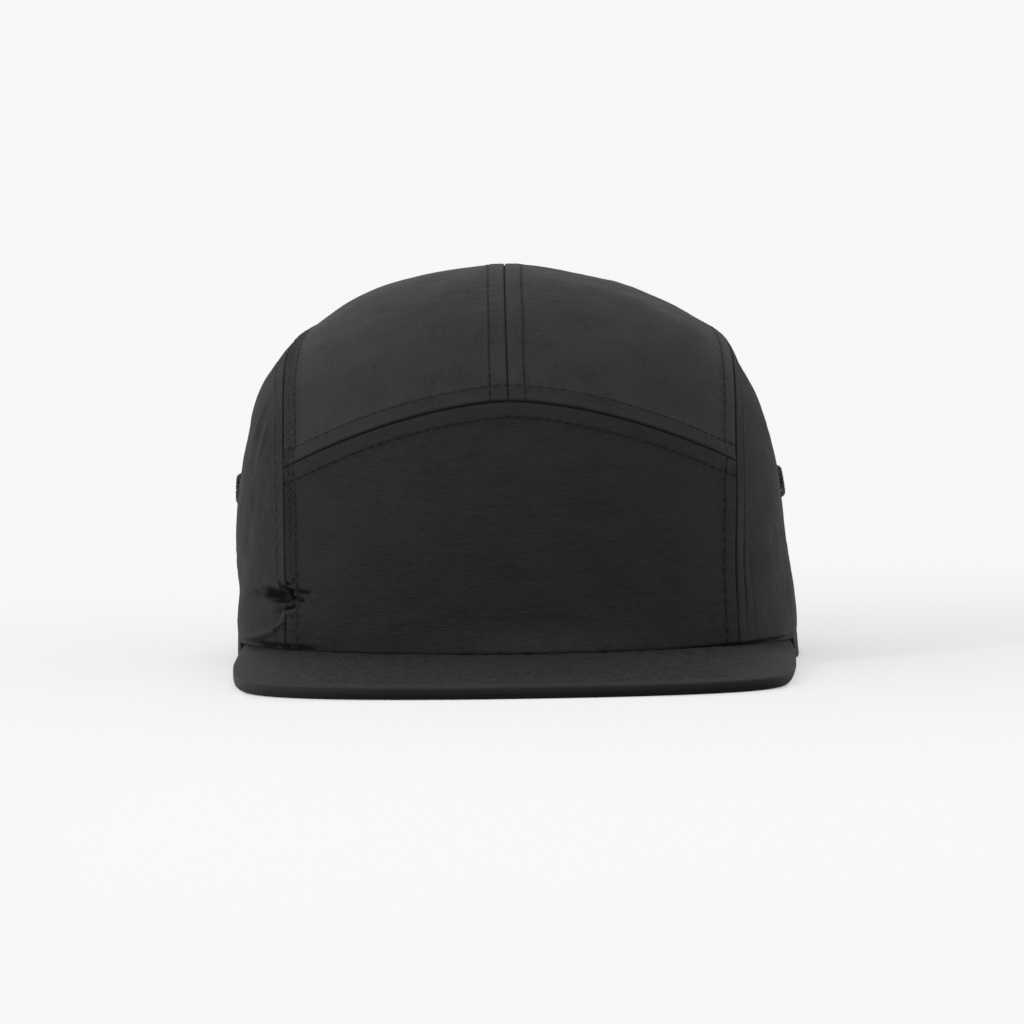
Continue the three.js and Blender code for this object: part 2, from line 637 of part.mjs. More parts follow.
// Eyelets: a ring of thread round a hole in the cloth, turned about the cloth's normal.

function eyeletFrame(side) {
  const disk = diskAtAzimuth(side * EYELET_AZIMUTH, EYELET_HEIGHT);
  return { centre: wallPoint(disk, 0), normal: crownNormal(disk) };
}

// A turned solid's +Y axis laid along the cloth's normal.
function placeOnCloth(object, side) {
  const { centre, normal } = eyeletFrame(side);
  object.position.copy(centre);
  object.quaternion.setFromUnitVectors(new THREE.Vector3(0, 1, 0), normal);
  return object;
}

function eyeletRing() {
  const face = SEAM_GAP; // underside of the outer flange, above the cloth
  const back = -CLOTH - SEAM_GAP; // underside of the inner flange, below the cloth
  const waist = EYELET_BORE + EYELET_THREAD;
  const middle = (EYELET_BORE + EYELET_RADIUS) / 2;
  const profile = [
    [waist, back], [EYELET_RADIUS - EYELET_THREAD, back], [middle, back - EYELET_BACK_RISE],
    [EYELET_BORE + SEAM_GAP, back - EYELET_BACK_RISE * 0.6], [EYELET_BORE, back], [EYELET_BORE, face],
    [EYELET_BORE + SEAM_GAP, face + EYELET_RISE * 0.7], [middle, face + EYELET_RISE],
    [EYELET_RADIUS - SEAM_GAP, face + EYELET_RISE * 0.6], [EYELET_RADIUS, face], [waist, face], [waist, back],
  ];
  return new THREE.LatheGeometry(profile.reverse().map(([r, h]) => new THREE.Vector2(r, h)), EYELET_CELLS);
}

function eyeletHole() {
  const radius = EYELET_BORE + EYELET_THREAD + SEAM_GAP;
  return new THREE.CylinderGeometry(radius, radius, 8 * CLOTH, EYELET_CELLS);
}

// Cuts and solids

const wasm = await Module();
wasm.setup();

function solidOf(mesh) {
  mesh.updateMatrixWorld(true);
  const bare = new THREE.BufferGeometry();
  bare.setAttribute('position', mesh.geometry.getAttribute('position'));
  bare.setIndex(mesh.geometry.getIndex());
  const merged = mergeVertices(bare.applyMatrix4(mesh.matrixWorld), 1e-3);
  return new wasm.Manifold(
    new wasm.Mesh({
      numProp: 3,
      vertProperties: new Float32Array(merged.attributes.position.array),
      triVerts: new Uint32Array(merged.index.array),
    }),
  );
}

function geometryOf(solid) {
  const mesh = solid.getMesh();
  const positions = new Float32Array(mesh.numVert * 3);
  for (let i = 0; i < mesh.numVert; i++) {
    positions.set(mesh.vertProperties.subarray(i * mesh.numProp, i * mesh.numProp + 3), i * 3);
  }
  const geometry = new THREE.BufferGeometry();
  geometry.setAttribute('position', new THREE.BufferAttribute(positions, 3));
  geometry.setIndex(new THREE.BufferAttribute(mesh.triVerts, 1));
  return geometry;
}

function sidePanelWithHole(seams, side) {
  const panel = new THREE.Mesh(sidePanel(seams, side));
  const hole = placeOnCloth(new THREE.Mesh(eyeletHole()), side);
  return geometryOf(solidOf(panel).subtract(solidOf(hole)));
}

// Assembly

const materials = {
  cloth: new THREE.MeshStandardMaterial({ color: CLOTH_COLOUR, roughness: 0.75, metalness: 0 }),
  peak: new THREE.MeshStandardMaterial({ color: CLOTH_COLOUR, roughness: 0.7, metalness: 0 }),
  band: new THREE.MeshStandardMaterial({ color: DARK_COLOUR, roughness: 0.9, metalness: 0 }),
  webbing: new THREE.MeshStandardMaterial({ color: DARK_COLOUR, roughness: 0.85, metalness: 0 }),
  plastic: new THREE.MeshStandardMaterial({ color: DARK_COLOUR, roughness: 0.45, metalness: 0 }),
  thread: new THREE.MeshStandardMaterial({ color: DARK_COLOUR, roughness: 0.6, metalness: 0 }),
};

function named(name, geometry, material) {
  const flat = geometry.index ? geometry.toNonIndexed() : geometry;
  flat.computeVertexNormals();
  const mesh = new THREE.Mesh(flat, material);
  mesh.name = name;
  return mesh;
}

const cap = new THREE.Group();
cap.name = 'five_panel_cap';
cap.add(
  named('front_panel', frontPanel(), materials.cloth),
  named('top_panel_left', topPanel(SEAMS.left), materials.cloth),
  named('top_panel_right', topPanel(SEAMS.right), materials.cloth),
  named('side_panel_left', sidePanelWithHole(SEAMS.left, -1), materials.cloth),
  named('side_panel_right', sidePanelWithHole(SEAMS.right, 1), materials.cloth),
  named('peak', peak(), materials.peak),
  named('sweatband', sweatband(), materials.band),
  named('back_strap', backStrap(), materials.webbing),
  named('strap_clip', strapClip(), materials.plastic),
  placeOnCloth(named('eyelet_left', eyeletRing(), materials.thread), -1),
  placeOnCloth(named('eyelet_right', eyeletRing(), materials.thread), 1),
);

// The origin is on the floor, under the middle of the whole cap.
const middle = new THREE.Box3().setFromObject(cap).getCenter(new THREE.Vector3());
cap.position.set(-middle.x, -middle.y, 0);

export default cap;
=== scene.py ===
"""The looks of a soft nylon five panel cap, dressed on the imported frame.

Shapes are worked out in millimetres about the middle of the crown, with the peak towards -Y, and are moved
to the frame's metres as each mesh is made. Left and right are as seen from the front.
"""

import logging
import math
from dataclasses import dataclass, field, replace
from enum import Enum

import bpy
import numpy as np
from mathutils import Matrix, Vector
from mathutils.bvhtree import BVHTree


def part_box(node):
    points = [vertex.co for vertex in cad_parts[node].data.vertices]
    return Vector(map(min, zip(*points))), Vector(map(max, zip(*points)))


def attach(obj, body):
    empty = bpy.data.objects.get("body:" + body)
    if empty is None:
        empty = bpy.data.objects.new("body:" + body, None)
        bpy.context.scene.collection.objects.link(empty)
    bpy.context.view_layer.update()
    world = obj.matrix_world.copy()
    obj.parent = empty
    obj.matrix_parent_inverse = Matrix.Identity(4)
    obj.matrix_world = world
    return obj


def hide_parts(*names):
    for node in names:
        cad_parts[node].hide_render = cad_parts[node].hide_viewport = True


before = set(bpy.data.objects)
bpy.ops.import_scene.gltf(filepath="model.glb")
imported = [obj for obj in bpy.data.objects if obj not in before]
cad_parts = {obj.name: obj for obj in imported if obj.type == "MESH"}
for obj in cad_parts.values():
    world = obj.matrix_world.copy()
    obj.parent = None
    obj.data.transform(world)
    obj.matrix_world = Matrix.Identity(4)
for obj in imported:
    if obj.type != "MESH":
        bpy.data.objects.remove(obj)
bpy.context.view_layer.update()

Array = np.ndarray
LOG = logging.getLogger("cap")
SEED = 58
MILLIMETRE = 0.001


# Tables


@dataclass(frozen=True)
class Section:
    """A level section of the crown, as shares of the crown's sizes."""

    height: float
    left: float
    right: float
    front: float
    back: float


SECTIONS = (
    Section(1.0, 0.0, 0.0, 0.0, 0.0),
    Section(0.982, 0.25, 0.224, 0.238, 0.243),
    Section(0.932, 0.489, 0.47, 0.44, 0.45),
    Section(0.846, 0.688, 0.704, 0.64, 0.648),
    Section(0.713, 0.861, 0.854, 0.815, 0.805),
    Section(0.537, 0.95, 0.938, 0.905, 0.91),
    Section(0.36, 0.974, 0.974, 0.95, 0.968),
    Section(0.181, 0.988, 0.989, 0.98, 0.992),
    Section(0.0, 1.0, 1.0, 1.0, 1.0),
)

# How far the side seams have come inwards, from the front panel's edge to the back opening.
SIDE_SEAM_ALONG = (0.0, 0.25, 0.45, 0.6, 0.75, 0.9, 1.0)
SIDE_SEAM_INWARD = (0.0, -0.008, -0.02, 0.09, 0.36, 0.77, 1.0)


@dataclass(frozen=True)
class Dent:
    """A soft dent seen from the front, as shares of the half width and height. A puff has a depth below 0."""

    x: float
    z: float
    across: float
    up: float
    depth: float


PINCH = Dent(-0.822, 0.1935, 0.055, 0.0125, 2.5)
PUFF = Dent(0.14, 0.055, 0.36, 0.05, -2.4)
DENTS = (
    Dent(-0.84, 0.187, 0.1, 0.03, 1.1),
    Dent(-0.92, 0.115, 0.1, 0.045, -1.2),
    Dent(-0.83, 0.075, 0.05, 0.03, -0.5),
    Dent(0.45, 0.25, 0.33, 0.12, 1.3),
    PUFF,
    Dent(-0.5, 0.86, 0.22, 0.05, 0.7),
    Dent(-0.36, 0.95, 0.2, 0.05, 0.5),
    Dent(0.62, 0.8, 0.13, 0.07, -0.7),
    Dent(0.42, 0.97, 0.24, 0.06, -1.1),
)


@dataclass(frozen=True)
class Fold:
    """A narrow fold seen from the front, between two places in millimetres. A ridge has a depth below 0."""

    start: tuple[float, float]
    end: tuple[float, float]
    sag: float
    width: float
    depth: float


PINCH_FOLDS = (
    Fold((-75.5, 22.6), (-71.0, 23.0), 0.2, 0.5, 1.1),
    Fold((-79.5, 8.5), (-57.0, 8.1), 0.0, 0.85, 1.5),
    Fold((-68.3, 25.5), (-59.4, 24.4), 0.2, 0.6, 1.5),
    Fold((-66.0, 23.9), (-61.5, 23.5), 0.2, 0.5, -0.5),
    Fold((-68.0, 23.1), (-61.2, 21.9), 0.2, 0.6, 1.4),
    Fold((-69.3, 27.4), (-69.4, 24.8), 0.05, 0.36, 1.1),
    Fold((-68.0, 26.8), (-68.2, 24.6), 0.05, 0.36, 1.1),
    Fold((-64.5, 28.6), (-64.6, 26.7), 0.05, 0.4, 0.9),
    Fold((-65.0, 21.5), (-64.8, 19.6), 0.05, 0.4, 1.1),
    Fold((-70.6, 21.8), (-70.6, 18.4), 0.05, 0.3, 0.6),
    Fold((-69.0, 21.8), (-69.0, 18.4), 0.05, 0.3, 0.6),
    Fold((-73.0, 21.7), (-65.8, 21.6), 0.2, 0.45, 1.2),
    Fold((-71.0, 20.6), (-64.8, 20.7), 0.2, 0.6, -0.3),
    Fold((-68.6, 19.2), (-64.8, 20.1), 0.1, 0.5, 1.5),
    Fold((-71.0, 18.4), (-68.0, 18.2), 0.1, 0.7, 0.7),
    Fold((-67.2, 27.0), (-65.2, 26.8), 0.1, 0.5, 1.0),
    Fold((-67.0, 25.6), (-66.0, 23.0), 0.1, 0.45, 0.9),
    Fold((-64.2, 13.6), (-63.6, 11.0), 0.1, 0.4, 0.5),
    Fold((48.0, 7.0), (86.0, 7.6), 0.0, 0.5, 1.0),
)
FOLDS = (
    Fold((-67.0, 18.9), (-64.3, 17.9), 0.1, 0.6, -0.7),
    Fold((-66.9, 15.8), (-71.0, 12.3), 0.2, 0.6, -1.0),
    Fold((-67.1, 14.2), (-68.2, 12.8), 0.1, 0.4, -0.5),
    Fold((-70.0, 12.9), (-83.5, 9.3), -0.5, 0.95, -1.1),
    Fold((-71.5, 10.4), (-82.0, 7.9), -0.3, 1.1, 0.15),
    Fold((-63.2, 13.4), (-62.2, 10.4), 0.1, 0.4, -0.4),
    Fold((-76.5, 52.0), (-79.5, 34.0), 0.8, 1.2, 0.3),
    Fold((-74.3, 80.1), (-77.8, 68.1), 0.3, 0.7, -0.4),
    Fold((-72.8, 75.4), (-76.6, 61.6), -0.3, 0.7, -0.35),
    Fold((-74.5, 73.0), (-79.0, 58.0), 0.3, 0.9, 0.35),
    Fold((-74.0, 60.0), (-76.0, 44.0), -0.6, 1.0, 0.3),
    Fold((60.5, 46.0), (61.5, 8.0), 0.5, 0.45, 0.16),
    Fold((64.2, 40.0), (65.0, 8.0), 0.2, 0.4, 0.2),
    Fold((67.0, 44.0), (67.6, 9.0), 0.2, 0.45, 0.3),
    Fold((69.5, 36.0), (70.2, 9.0), 0.2, 0.4, 0.24),
    Fold((72.0, 9.3), (81.0, 10.3), 0.3, 0.5, -0.3),
)


class Side(Enum):
    """A side of the cap, seen from the front."""

    LEFT = -1
    RIGHT = 1

    @property
    def word(self) -> str:
        """The side's plain name."""
        return self.name.lower()


# Small sums


def ease(value: Array, low: float, high: float) -> Array:
    """A smooth rise from 0 at low to 1 at high, or a fall where high is below low."""
    share = np.clip((value - low) / (high - low), 0.0, 1.0)
    return share * share * (3.0 - 2.0 * share)


def unit(vectors: Array) -> Array:
    """The vectors at length 1."""
    return vectors / np.maximum(np.linalg.norm(vectors, axis=-1, keepdims=True), 1e-12)


def catmull(a: Array, b: Array, c: Array, d: Array, t: Array) -> Array:
    """A smooth curve from b to c through its neighbours."""
    return b + 0.5 * t * (c - a + t * (2 * a - 5 * b + 4 * c - d + t * (3 * (b - c) + d - a)))


def smooth_noise(points: Array, size: tuple[float, float, float], seed: int) -> Array:
    """Soft three-dimensional noise.

    Args:
        points: Places in millimetres, in rows of three.
        size: The noise's feature size in millimetres along each axis.
        seed: Picks the pattern.

    Returns:
        A value from about -1 to 1 at each place.
    """
    lattice = np.random.default_rng(SEED + seed).uniform(-1.0, 1.0, (32, 32, 32))
    spot = points / np.array(size) + 57.3
    cell = np.floor(spot).astype(int)
    t = spot - cell
    t = t * t * t * (t * (6 * t - 15) + 10)
    total = np.zeros(len(points))
    for corner in range(8):
        offset = np.array([(corner >> k) & 1 for k in range(3)])
        weight = np.prod(np.where(offset == 1, t, 1.0 - t), axis=-1)
        x, y, z = ((cell + offset) % 32).T
        total += weight * lattice[x, y, z]
    return total


def line_noise(along: Array, size: float, seed: int) -> Array:
    """Soft noise along a line, from about -1 to 1."""
    points = np.stack([along, np.full_like(along, 3.1), np.full_like(along, 7.7)], axis=-1)
    return smooth_noise(points, (size, size, size), seed)


# The crown's form


@dataclass(frozen=True)
class CrownForm:
    """The smooth outer face of the crown. A place on it is named by a place in the unit disk."""

    half_width: float = 86.0
    front: float = 97.0
    back: float = 97.0
    height: float = 120.5
    lean: float = -2.5
    rim_squareness: float = 2.3
    top_squareness: float = 2.05
    cloth: float = 1.4

    def section(self, column: str, turn: Array) -> Array:
        """A column of the section table at shares of the way from the top to the rim."""
        rows = np.array([getattr(row, column) for row in SECTIONS])
        mirror = 1.0 if column == "height" else -1.0
        padded = np.concatenate([[mirror * rows[1]], rows, [2 * rows[-1] - rows[-2]]])
        last = len(rows) - 1
        spot = np.asarray(turn) * last
        cell = np.clip(np.floor(spot).astype(int), 0, last - 1)
        a, b, c, d = (padded[cell + k] for k in range(4))
        return catmull(a, b, c, d, spot - cell)

    def turn_at_height(self, z: Array) -> Array:
        """The share of the way from the top to the rim at a height."""
        turns = np.linspace(0.0, 1.0, 4001)
        heights = self.height * self.section("height", turns)
        return np.interp(-np.asarray(z, dtype=float), -heights, turns)

    def lean_at(self, z: Array) -> Array:
        """How far the soft crown leans sideways at a height."""
        share = z / self.height
        return self.lean * share * (2.0 - share)

    def oval(self, turn: Array, x: Array, y: Array) -> tuple[Array, Array, Array]:
        """The half width, reach and exponent of the level oval, on the side that a direction points to."""
        wide = np.where(x < 0, self.section("left", turn), self.section("right", turn))
        front = self.front * self.section("front", turn)
        back = self.back * self.section("back", turn)
        power = self.top_squareness + (self.rim_squareness - self.top_squareness) * turn
        return self.half_width * wide, np.where(y < 0, front, back), power

    def point(self, disk: Array) -> Array:
        """Places on the smooth crown, in millimetres."""
        turn = np.maximum(np.linalg.norm(disk, axis=-1), 1e-9)
        sx, sy = disk[..., 0] / turn, disk[..., 1] / turn
        wide, reach, power = self.oval(turn, disk[..., 0], disk[..., 1])
        scale = (np.abs(sx) ** power + np.abs(sy) ** power) ** (-1.0 / power)
        z = self.height * self.section("height", turn)
        return np.stack([wide * scale * sx + self.lean_at(z), reach * scale * sy, z], axis=-1)

    def normal(self, disk: Array) -> Array:
        """Outward directions on the smooth crown."""
        step = 1e-3
        dx, dy = np.array([step, 0.0]), np.array([0.0, step])
        along = self.point(disk + dx) - self.point(disk - dx)
        across = self.point(disk + dy) - self.point(disk - dy)
        return unit(np.cross(along, across))

    def level_normal(self, disk: Array) -> Array:
        """Outward directions on the smooth crown, taken level."""
        return unit(self.normal(disk) * np.array([1.0, 1.0, 0.0]))

    def rim_point(self, azimuth: Array, z: Array, depth: Array) -> Array:
        """Places at a level depth below the smooth crown, as the pieces along the rim lie."""
        disk = self.at_azimuth(azimuth, z)
        return self.point(disk) - self.level_normal(disk) * np.asarray(depth)[..., None]

    def at_azimuth(self, azimuth: Array, z: Array) -> Array:
        """Disk places at degrees from the front, positive to the right, and a height."""
        angle = np.radians(azimuth)
        turn = self.turn_at_height(z)
        return np.stack([np.sin(angle) * turn, -np.cos(angle) * turn], axis=-1)

    def at_view(self, x: Array, z: Array, facing: int) -> Array:
        """Disk places at a distance from the middle and a height, on the front (-1) or the back (1)."""
        x, z = np.broadcast_arrays(np.asarray(x, dtype=float), np.asarray(z, dtype=float))
        turn = self.turn_at_height(z)
        wide, _, power = self.oval(turn, x, np.full_like(x, facing))
        share = np.clip((x - self.lean_at(z)) / wide, -1.0, 1.0)
        depth = facing * (1.0 - np.abs(share) ** power) ** (1.0 / power)
        return unit(np.stack([share, depth], axis=-1)) * turn[..., None]

    def at_pitch(self, x: Array, pitch: Array) -> Array:
        """Disk places at a distance from the middle and an angle about the sideways axis, 0 at the front."""
        low, high = np.zeros_like(pitch), np.full_like(pitch, self.front + self.back)
        for _ in range(44):
            radius = (low + high) / 2
            z = np.minimum(radius * np.sin(pitch), self.height)
            wide, reach, power = self.oval(self.turn_at_height(z), x, -np.cos(pitch))
            share = np.abs((x - self.lean_at(z)) / np.maximum(wide, 1e-6)) ** power
            share += np.abs(radius * np.cos(pitch) / np.maximum(reach, 1e-6)) ** power
            inside = (share < 1.0) & (radius * np.sin(pitch) < self.height)
            low, high = np.where(inside, radius, low), np.where(inside, high, radius)
        z = radius * np.sin(pitch)
        turn = self.turn_at_height(z)
        wide, reach, _ = self.oval(turn, x, -np.cos(pitch))
        place = np.stack([(x - self.lean_at(z)) / wide, -radius * np.cos(pitch) / reach], axis=-1)
        return unit(place) * turn[..., None]

    def dent_share(self, dent: Dent, points: Array) -> Array:
        """How far places lie from a dent's middle, squared, as shares of its size."""
        across = (points[..., 0] / self.half_width - dent.x) / dent.across
        up = (points[..., 2] / self.height - dent.z) / dent.up
        return across * across + up * up

    def pinch_depth(self, points: Array) -> Array:
        """How deep the pinch beside the left seam is at places on the crown."""
        noise = smooth_noise(points.reshape(-1, 3), (1.1, 8.0, 2.2), 92)
        ragged = np.maximum(1.0 + 0.7 * noise, 0.6).reshape(points.shape[:-1])
        depth = PINCH.depth * np.exp(-((self.dent_share(PINCH, points) * ragged) ** 1.4))
        for fold in PINCH_FOLDS:
            depth += self.fold_depth(fold, points[..., 0], points[..., 2])
        return depth * ease(points[..., 1], 0.0, -8.0)

    def dent_depth(self, points: Array) -> Array:
        """How deep the dents and folds are at places on the crown."""
        depth = np.zeros(points.shape[:-1])
        for dent in DENTS:
            depth += dent.depth * np.exp(-self.dent_share(dent, points))
        for fold in FOLDS:
            depth += self.fold_depth(fold, points[..., 0], points[..., 2])
        return depth * ease(points[..., 1], 0.0, -8.0) + self.pinch_depth(points)

    def ridge_height(self, points: Array) -> Array:
        """How high the ridges among the folds are at places on the crown."""
        lows = [np.minimum(self.fold_depth(fold, points[..., 0], points[..., 2]), 0.0) for fold in FOLDS]
        return -np.min(lows, axis=0) * (points[..., 1] < 0.0)

    @staticmethod
    def fold_depth(fold: Fold, x: Array, z: Array) -> Array:
        """The depth of one narrow fold at places seen from the front."""
        start, end = np.array(fold.start), np.array(fold.end)
        way = end - start
        length = float(np.linalg.norm(way))
        along = ((x - start[0]) * way[0] + (z - start[1]) * way[1]) / length
        off = ((x - start[0]) * way[1] - (z - start[1]) * way[0]) / length
        share = along / length
        off = off - fold.sag * 4.0 * share * (1.0 - share)
        ends = ease(share, -0.12, 0.3) * ease(share, 1.12, 0.7)
        return fold.depth * np.exp(-((off / fold.width) ** 2)) * ends


@dataclass(frozen=True)
class DiskCurve:
    """A curve on the crown, stepped evenly along its length."""

    form: CrownForm
    places: Array
    total: float

    @classmethod
    def even(cls, form: CrownForm, places: Array) -> "DiskCurve":
        """A curve through disk places, however they are spaced.

        Args:
            form: The crown that the curve lies on.
            places: Disk places along the curve.

        Returns:
            The same curve with even steps.
        """
        steps = np.linalg.norm(np.diff(form.point(places), axis=0), axis=-1)
        lengths = np.concatenate([[0.0], np.cumsum(steps)])
        wanted = np.linspace(0.0, lengths[-1], 801)
        columns = [np.interp(wanted, lengths, places[:, k]) for k in range(2)]
        return cls(form, np.stack(columns, axis=-1), float(lengths[-1]))

    def at(self, share: Array) -> Array:
        """Disk places at shares of the curve's length."""
        spot = np.clip(share, 0.0, 1.0) * (len(self.places) - 1)
        steps = np.arange(len(self.places))
        return np.stack([np.interp(spot, steps, self.places[:, k]) for k in range(2)], axis=-1)

    def reversed(self) -> "DiskCurve":
        """The same curve the other way."""
        return DiskCurve(self.form, self.places[::-1], self.total)

    def joined(self, other: "DiskCurve") -> "DiskCurve":
        """This curve and then another."""
        return DiskCurve.even(self.form, np.concatenate([self.places, other.places[1:]]))


@dataclass(frozen=True)
class SeamPlan:
    """Where the seams, the rim and the back opening run on the crown."""

    form: CrownForm
    panel_half_width: float = 65.5
    shift: float = -1.3
    arch_height: float = 79.1
    arch_drop: float = 18.9
    arch_power: float = 1.7
    opening_half_width: float = 33.0
    opening_height: float = 44.0
    opening_squareness: float = 2.5
    back_half_width: float = 24.0
    peak_corner: float = 73.0
    peak_lift: float = 4.2
    left_lift: float = 4.9
    right_lift: float = 3.7
    peak_thickness: float = 3.3
    corner_thickness: float = 2.4
    gap: float = 0.05
    step_clearance: float = -0.4
    step: float = 1.9

    def root_share(self, azimuth: Array) -> Array:
        """How far towards the peak's ends an azimuth lies, eased."""
        return np.clip(np.abs(azimuth) / self.peak_corner, 0.0, 1.0) ** 2

    def lift_at(self, azimuth: Array) -> Array:
        """The height of the peak's underside at the crown."""
        corner = np.where(azimuth < 0, self.left_lift, self.right_lift)
        return self.peak_lift + (corner - self.peak_lift) * self.root_share(azimuth)

    def thickness_at(self, azimuth: Array) -> Array:
        """The peak's thickness at the crown."""
        change = self.corner_thickness - self.peak_thickness
        return self.peak_thickness + change * self.root_share(azimuth) ** 2

    def rim_height(self, azimuth: Array) -> Array:
        """The height of the crown's lower edge: above the peak in front, and on the floor behind its ends."""
        past = np.radians(np.abs(azimuth) - self.peak_corner) * self.form.half_width - self.step_clearance
        above = self.lift_at(azimuth) + self.thickness_at(azimuth) + self.gap
        return above * (1.0 - np.clip(past / self.step, 0.0, 1.0))

    def rim(self, start: float, end: float) -> DiskCurve:
        """The crown's lower edge between two azimuths."""
        azimuth = np.linspace(start, end, 2001)
        return DiskCurve.even(self.form, self.form.at_azimuth(azimuth, self.rim_height(azimuth)))

    def arch(self, side: Side, share: Array) -> Array:
        """Disk places on the arched seam, from its middle to a side seam."""
        x = side.value * share * self.panel_half_width
        return self.form.at_view(x + self.shift, self.arch_height - self.arch_drop * share**self.arch_power, -1)

    def opening(self, x: Array) -> Array:
        """Disk places on the edge of the back opening."""
        share = np.minimum(np.abs(x) / self.opening_half_width, 1.0)
        power = self.opening_squareness
        z = self.opening_height * (1.0 - share**power) ** (1.0 / power)
        return self.form.at_view(x + self.shift, z, 1)

    def front_corner(self, side: Side) -> Array:
        """The disk place where a side seam meets the lower edge above the peak."""
        x = side.value * self.panel_half_width + self.shift
        place = self.form.at_view(x, 5.3, -1)
        for _ in range(2):
            azimuth = np.degrees(np.arctan2(place[0], -place[1]))
            place = self.form.at_view(x, self.rim_height(azimuth), -1)
        return place

    def side_seam(self, side: Side, share: Array) -> Array:
        """Disk places on a side seam, from the peak over the top to the back opening."""
        ends = np.stack([self.front_corner(side), self.opening(np.array(side.value * self.back_half_width))])
        places = self.form.point(ends)
        low, high = np.arctan2(places[:, 2], -places[:, 1])
        along, inward = np.array(SIDE_SEAM_ALONG), np.array(SIDE_SEAM_INWARD)
        last = len(along) - 1
        cell = np.clip(np.searchsorted(along, share, side="left") - 1, 0, last - 1)
        a, b, c, d = (inward[np.clip(cell + k, 0, last)] for k in (-1, 0, 1, 2))
        t = (share - along[cell]) / (along[cell + 1] - along[cell])
        x = self.panel_half_width + (self.back_half_width - self.panel_half_width) * catmull(a, b, c, d, t)
        return self.form.at_pitch(side.value * x + self.shift, low + (high - low) * share)

    def curves(self, side: Side) -> dict[str, DiskCurve]:
        """The curves that bound the panels on one side.

        Args:
            side: Which side of the cap.

        Returns:
            The curves by name: lower, upper, arch, centre, opening_top and opening_side.
        """
        share = np.linspace(0.0, 1.0, 1601)
        whole = self.side_seam(side, share)
        heights = self.form.point(whole)[:, 2]
        corner_height = self.form.point(self.arch(side, np.array(1.0)))[2]
        split = int(np.argmax(heights > corner_height))
        miss = whole[split] - self.arch(side, np.array(1.0))
        arch = self.arch(side, share) + miss * share[:, None] ** 2
        ends = self.arch(side, np.array(0.0)), self.opening(np.array(0.0))
        centre = ends[0] + (ends[1] - ends[0]) * share[:, None]
        centre[:, 0] *= 1.0 - np.sin(np.pi * share)
        wide = self.back_half_width + (self.opening_half_width - self.back_half_width) * np.sqrt(share)
        return {
            "lower": DiskCurve.even(self.form, whole[: split + 1]),
            "upper": DiskCurve.even(self.form, whole[split:]),
            "arch": DiskCurve.even(self.form, arch),
            "centre": DiskCurve.even(self.form, centre),
            "opening_top": DiskCurve.even(self.form, self.opening(side.value * share * self.back_half_width)),
            "opening_side": DiskCurve.even(self.form, self.opening(side.value * wide)),
        }


# Meshes


@dataclass
class Mesh:
    """A mesh being made, in millimetres about the middle of the crown."""

    points: Array
    faces: list[tuple[int, ...]]
    cloth_places: Array | None = None
    masks: dict[str, Array] = field(default_factory=dict)

    def tree(self) -> BVHTree:
        """A search tree of the mesh."""
        return BVHTree.FromPolygons(self.points.tolist(), self.faces)


def signed_volume(points: Array, quads: Array) -> float:
    """The volume inside closed quads, negative where they face inwards."""
    a, b, c, d = (points[quads[:, k]] for k in range(4))
    total = np.einsum("ij,ij->", a, np.cross(b, c)) + np.einsum("ij,ij->", a, np.cross(c, d))
    return float(total) / 6.0


def shell(outer: Array, inner: Array, kept: Array | None = None) -> tuple[Array, Array]:
    """A closed shell between two grids of points.

    Args:
        outer: The outer points, rows by columns by 3.
        inner: The inner points in the same grid.
        kept: Which of the grid's cells are cloth. All are where it is None.

    Returns:
        The points in rows of three, and the quads facing out.
    """
    rows, columns = outer.shape[:2]
    if kept is None:
        kept = np.ones((rows - 1, columns - 1), dtype=bool)
    index = np.arange(rows * columns).reshape(rows, columns)
    under = rows * columns
    a, b, c, d = index[:-1, :-1], index[:-1, 1:], index[1:, 1:], index[1:, :-1]
    quads = [np.stack([a, b, c, d], axis=-1)[kept], np.stack([a, d, c, b], axis=-1)[kept] + under]
    ringed = np.pad(kept, 1)
    sides = ((a, b, ringed[:-2, 1:-1]), (b, c, ringed[1:-1, 2:]), (c, d, ringed[2:, 1:-1]), (d, a, ringed[1:-1, :-2]))
    for first, second, beyond in sides:
        edge = kept & ~beyond
        p, q = first[edge], second[edge]
        quads.append(np.stack([p, p + under, q + under, q], axis=-1))
    points = np.concatenate([outer.reshape(-1, 3), inner.reshape(-1, 3)])
    faces = np.concatenate(quads)
    if signed_volume(points, faces) < 0:
        faces = faces[:, ::-1]
    return points, faces


def loft(rings: Array, closed: bool = False) -> tuple[Array, list[tuple[int, ...]]]:
    """A closed solid through rings of points.

    Args:
        rings: Stations by points by 3. Each ring closes on itself.
        closed: True where the last ring joins the first, and False where both ends are capped.

    Returns:
        The points in rows of three, and the faces facing out.
    """
    stations, around = rings.shape[:2]
    index = np.arange(stations * around).reshape(stations, around)
    following = np.roll(index, -1, axis=1)
    last = stations if closed else stations - 1
    after = np.roll(index, -1, axis=0)[:last], np.roll(following, -1, axis=0)[:last]
    quads = np.stack([index[:last], following[:last], after[1], after[0]], axis=-1).reshape(-1, 4)
    points = rings.reshape(-1, 3)
    caps = [] if closed else [tuple(index[0, ::-1].tolist()), tuple(index[-1].tolist())]
    if signed_volume(points, quads) < 0 and (closed or stations > 1):
        quads = quads[:, ::-1]
        caps = [cap[::-1] for cap in caps]
    return points, [tuple(q) for q in quads.tolist()] + caps


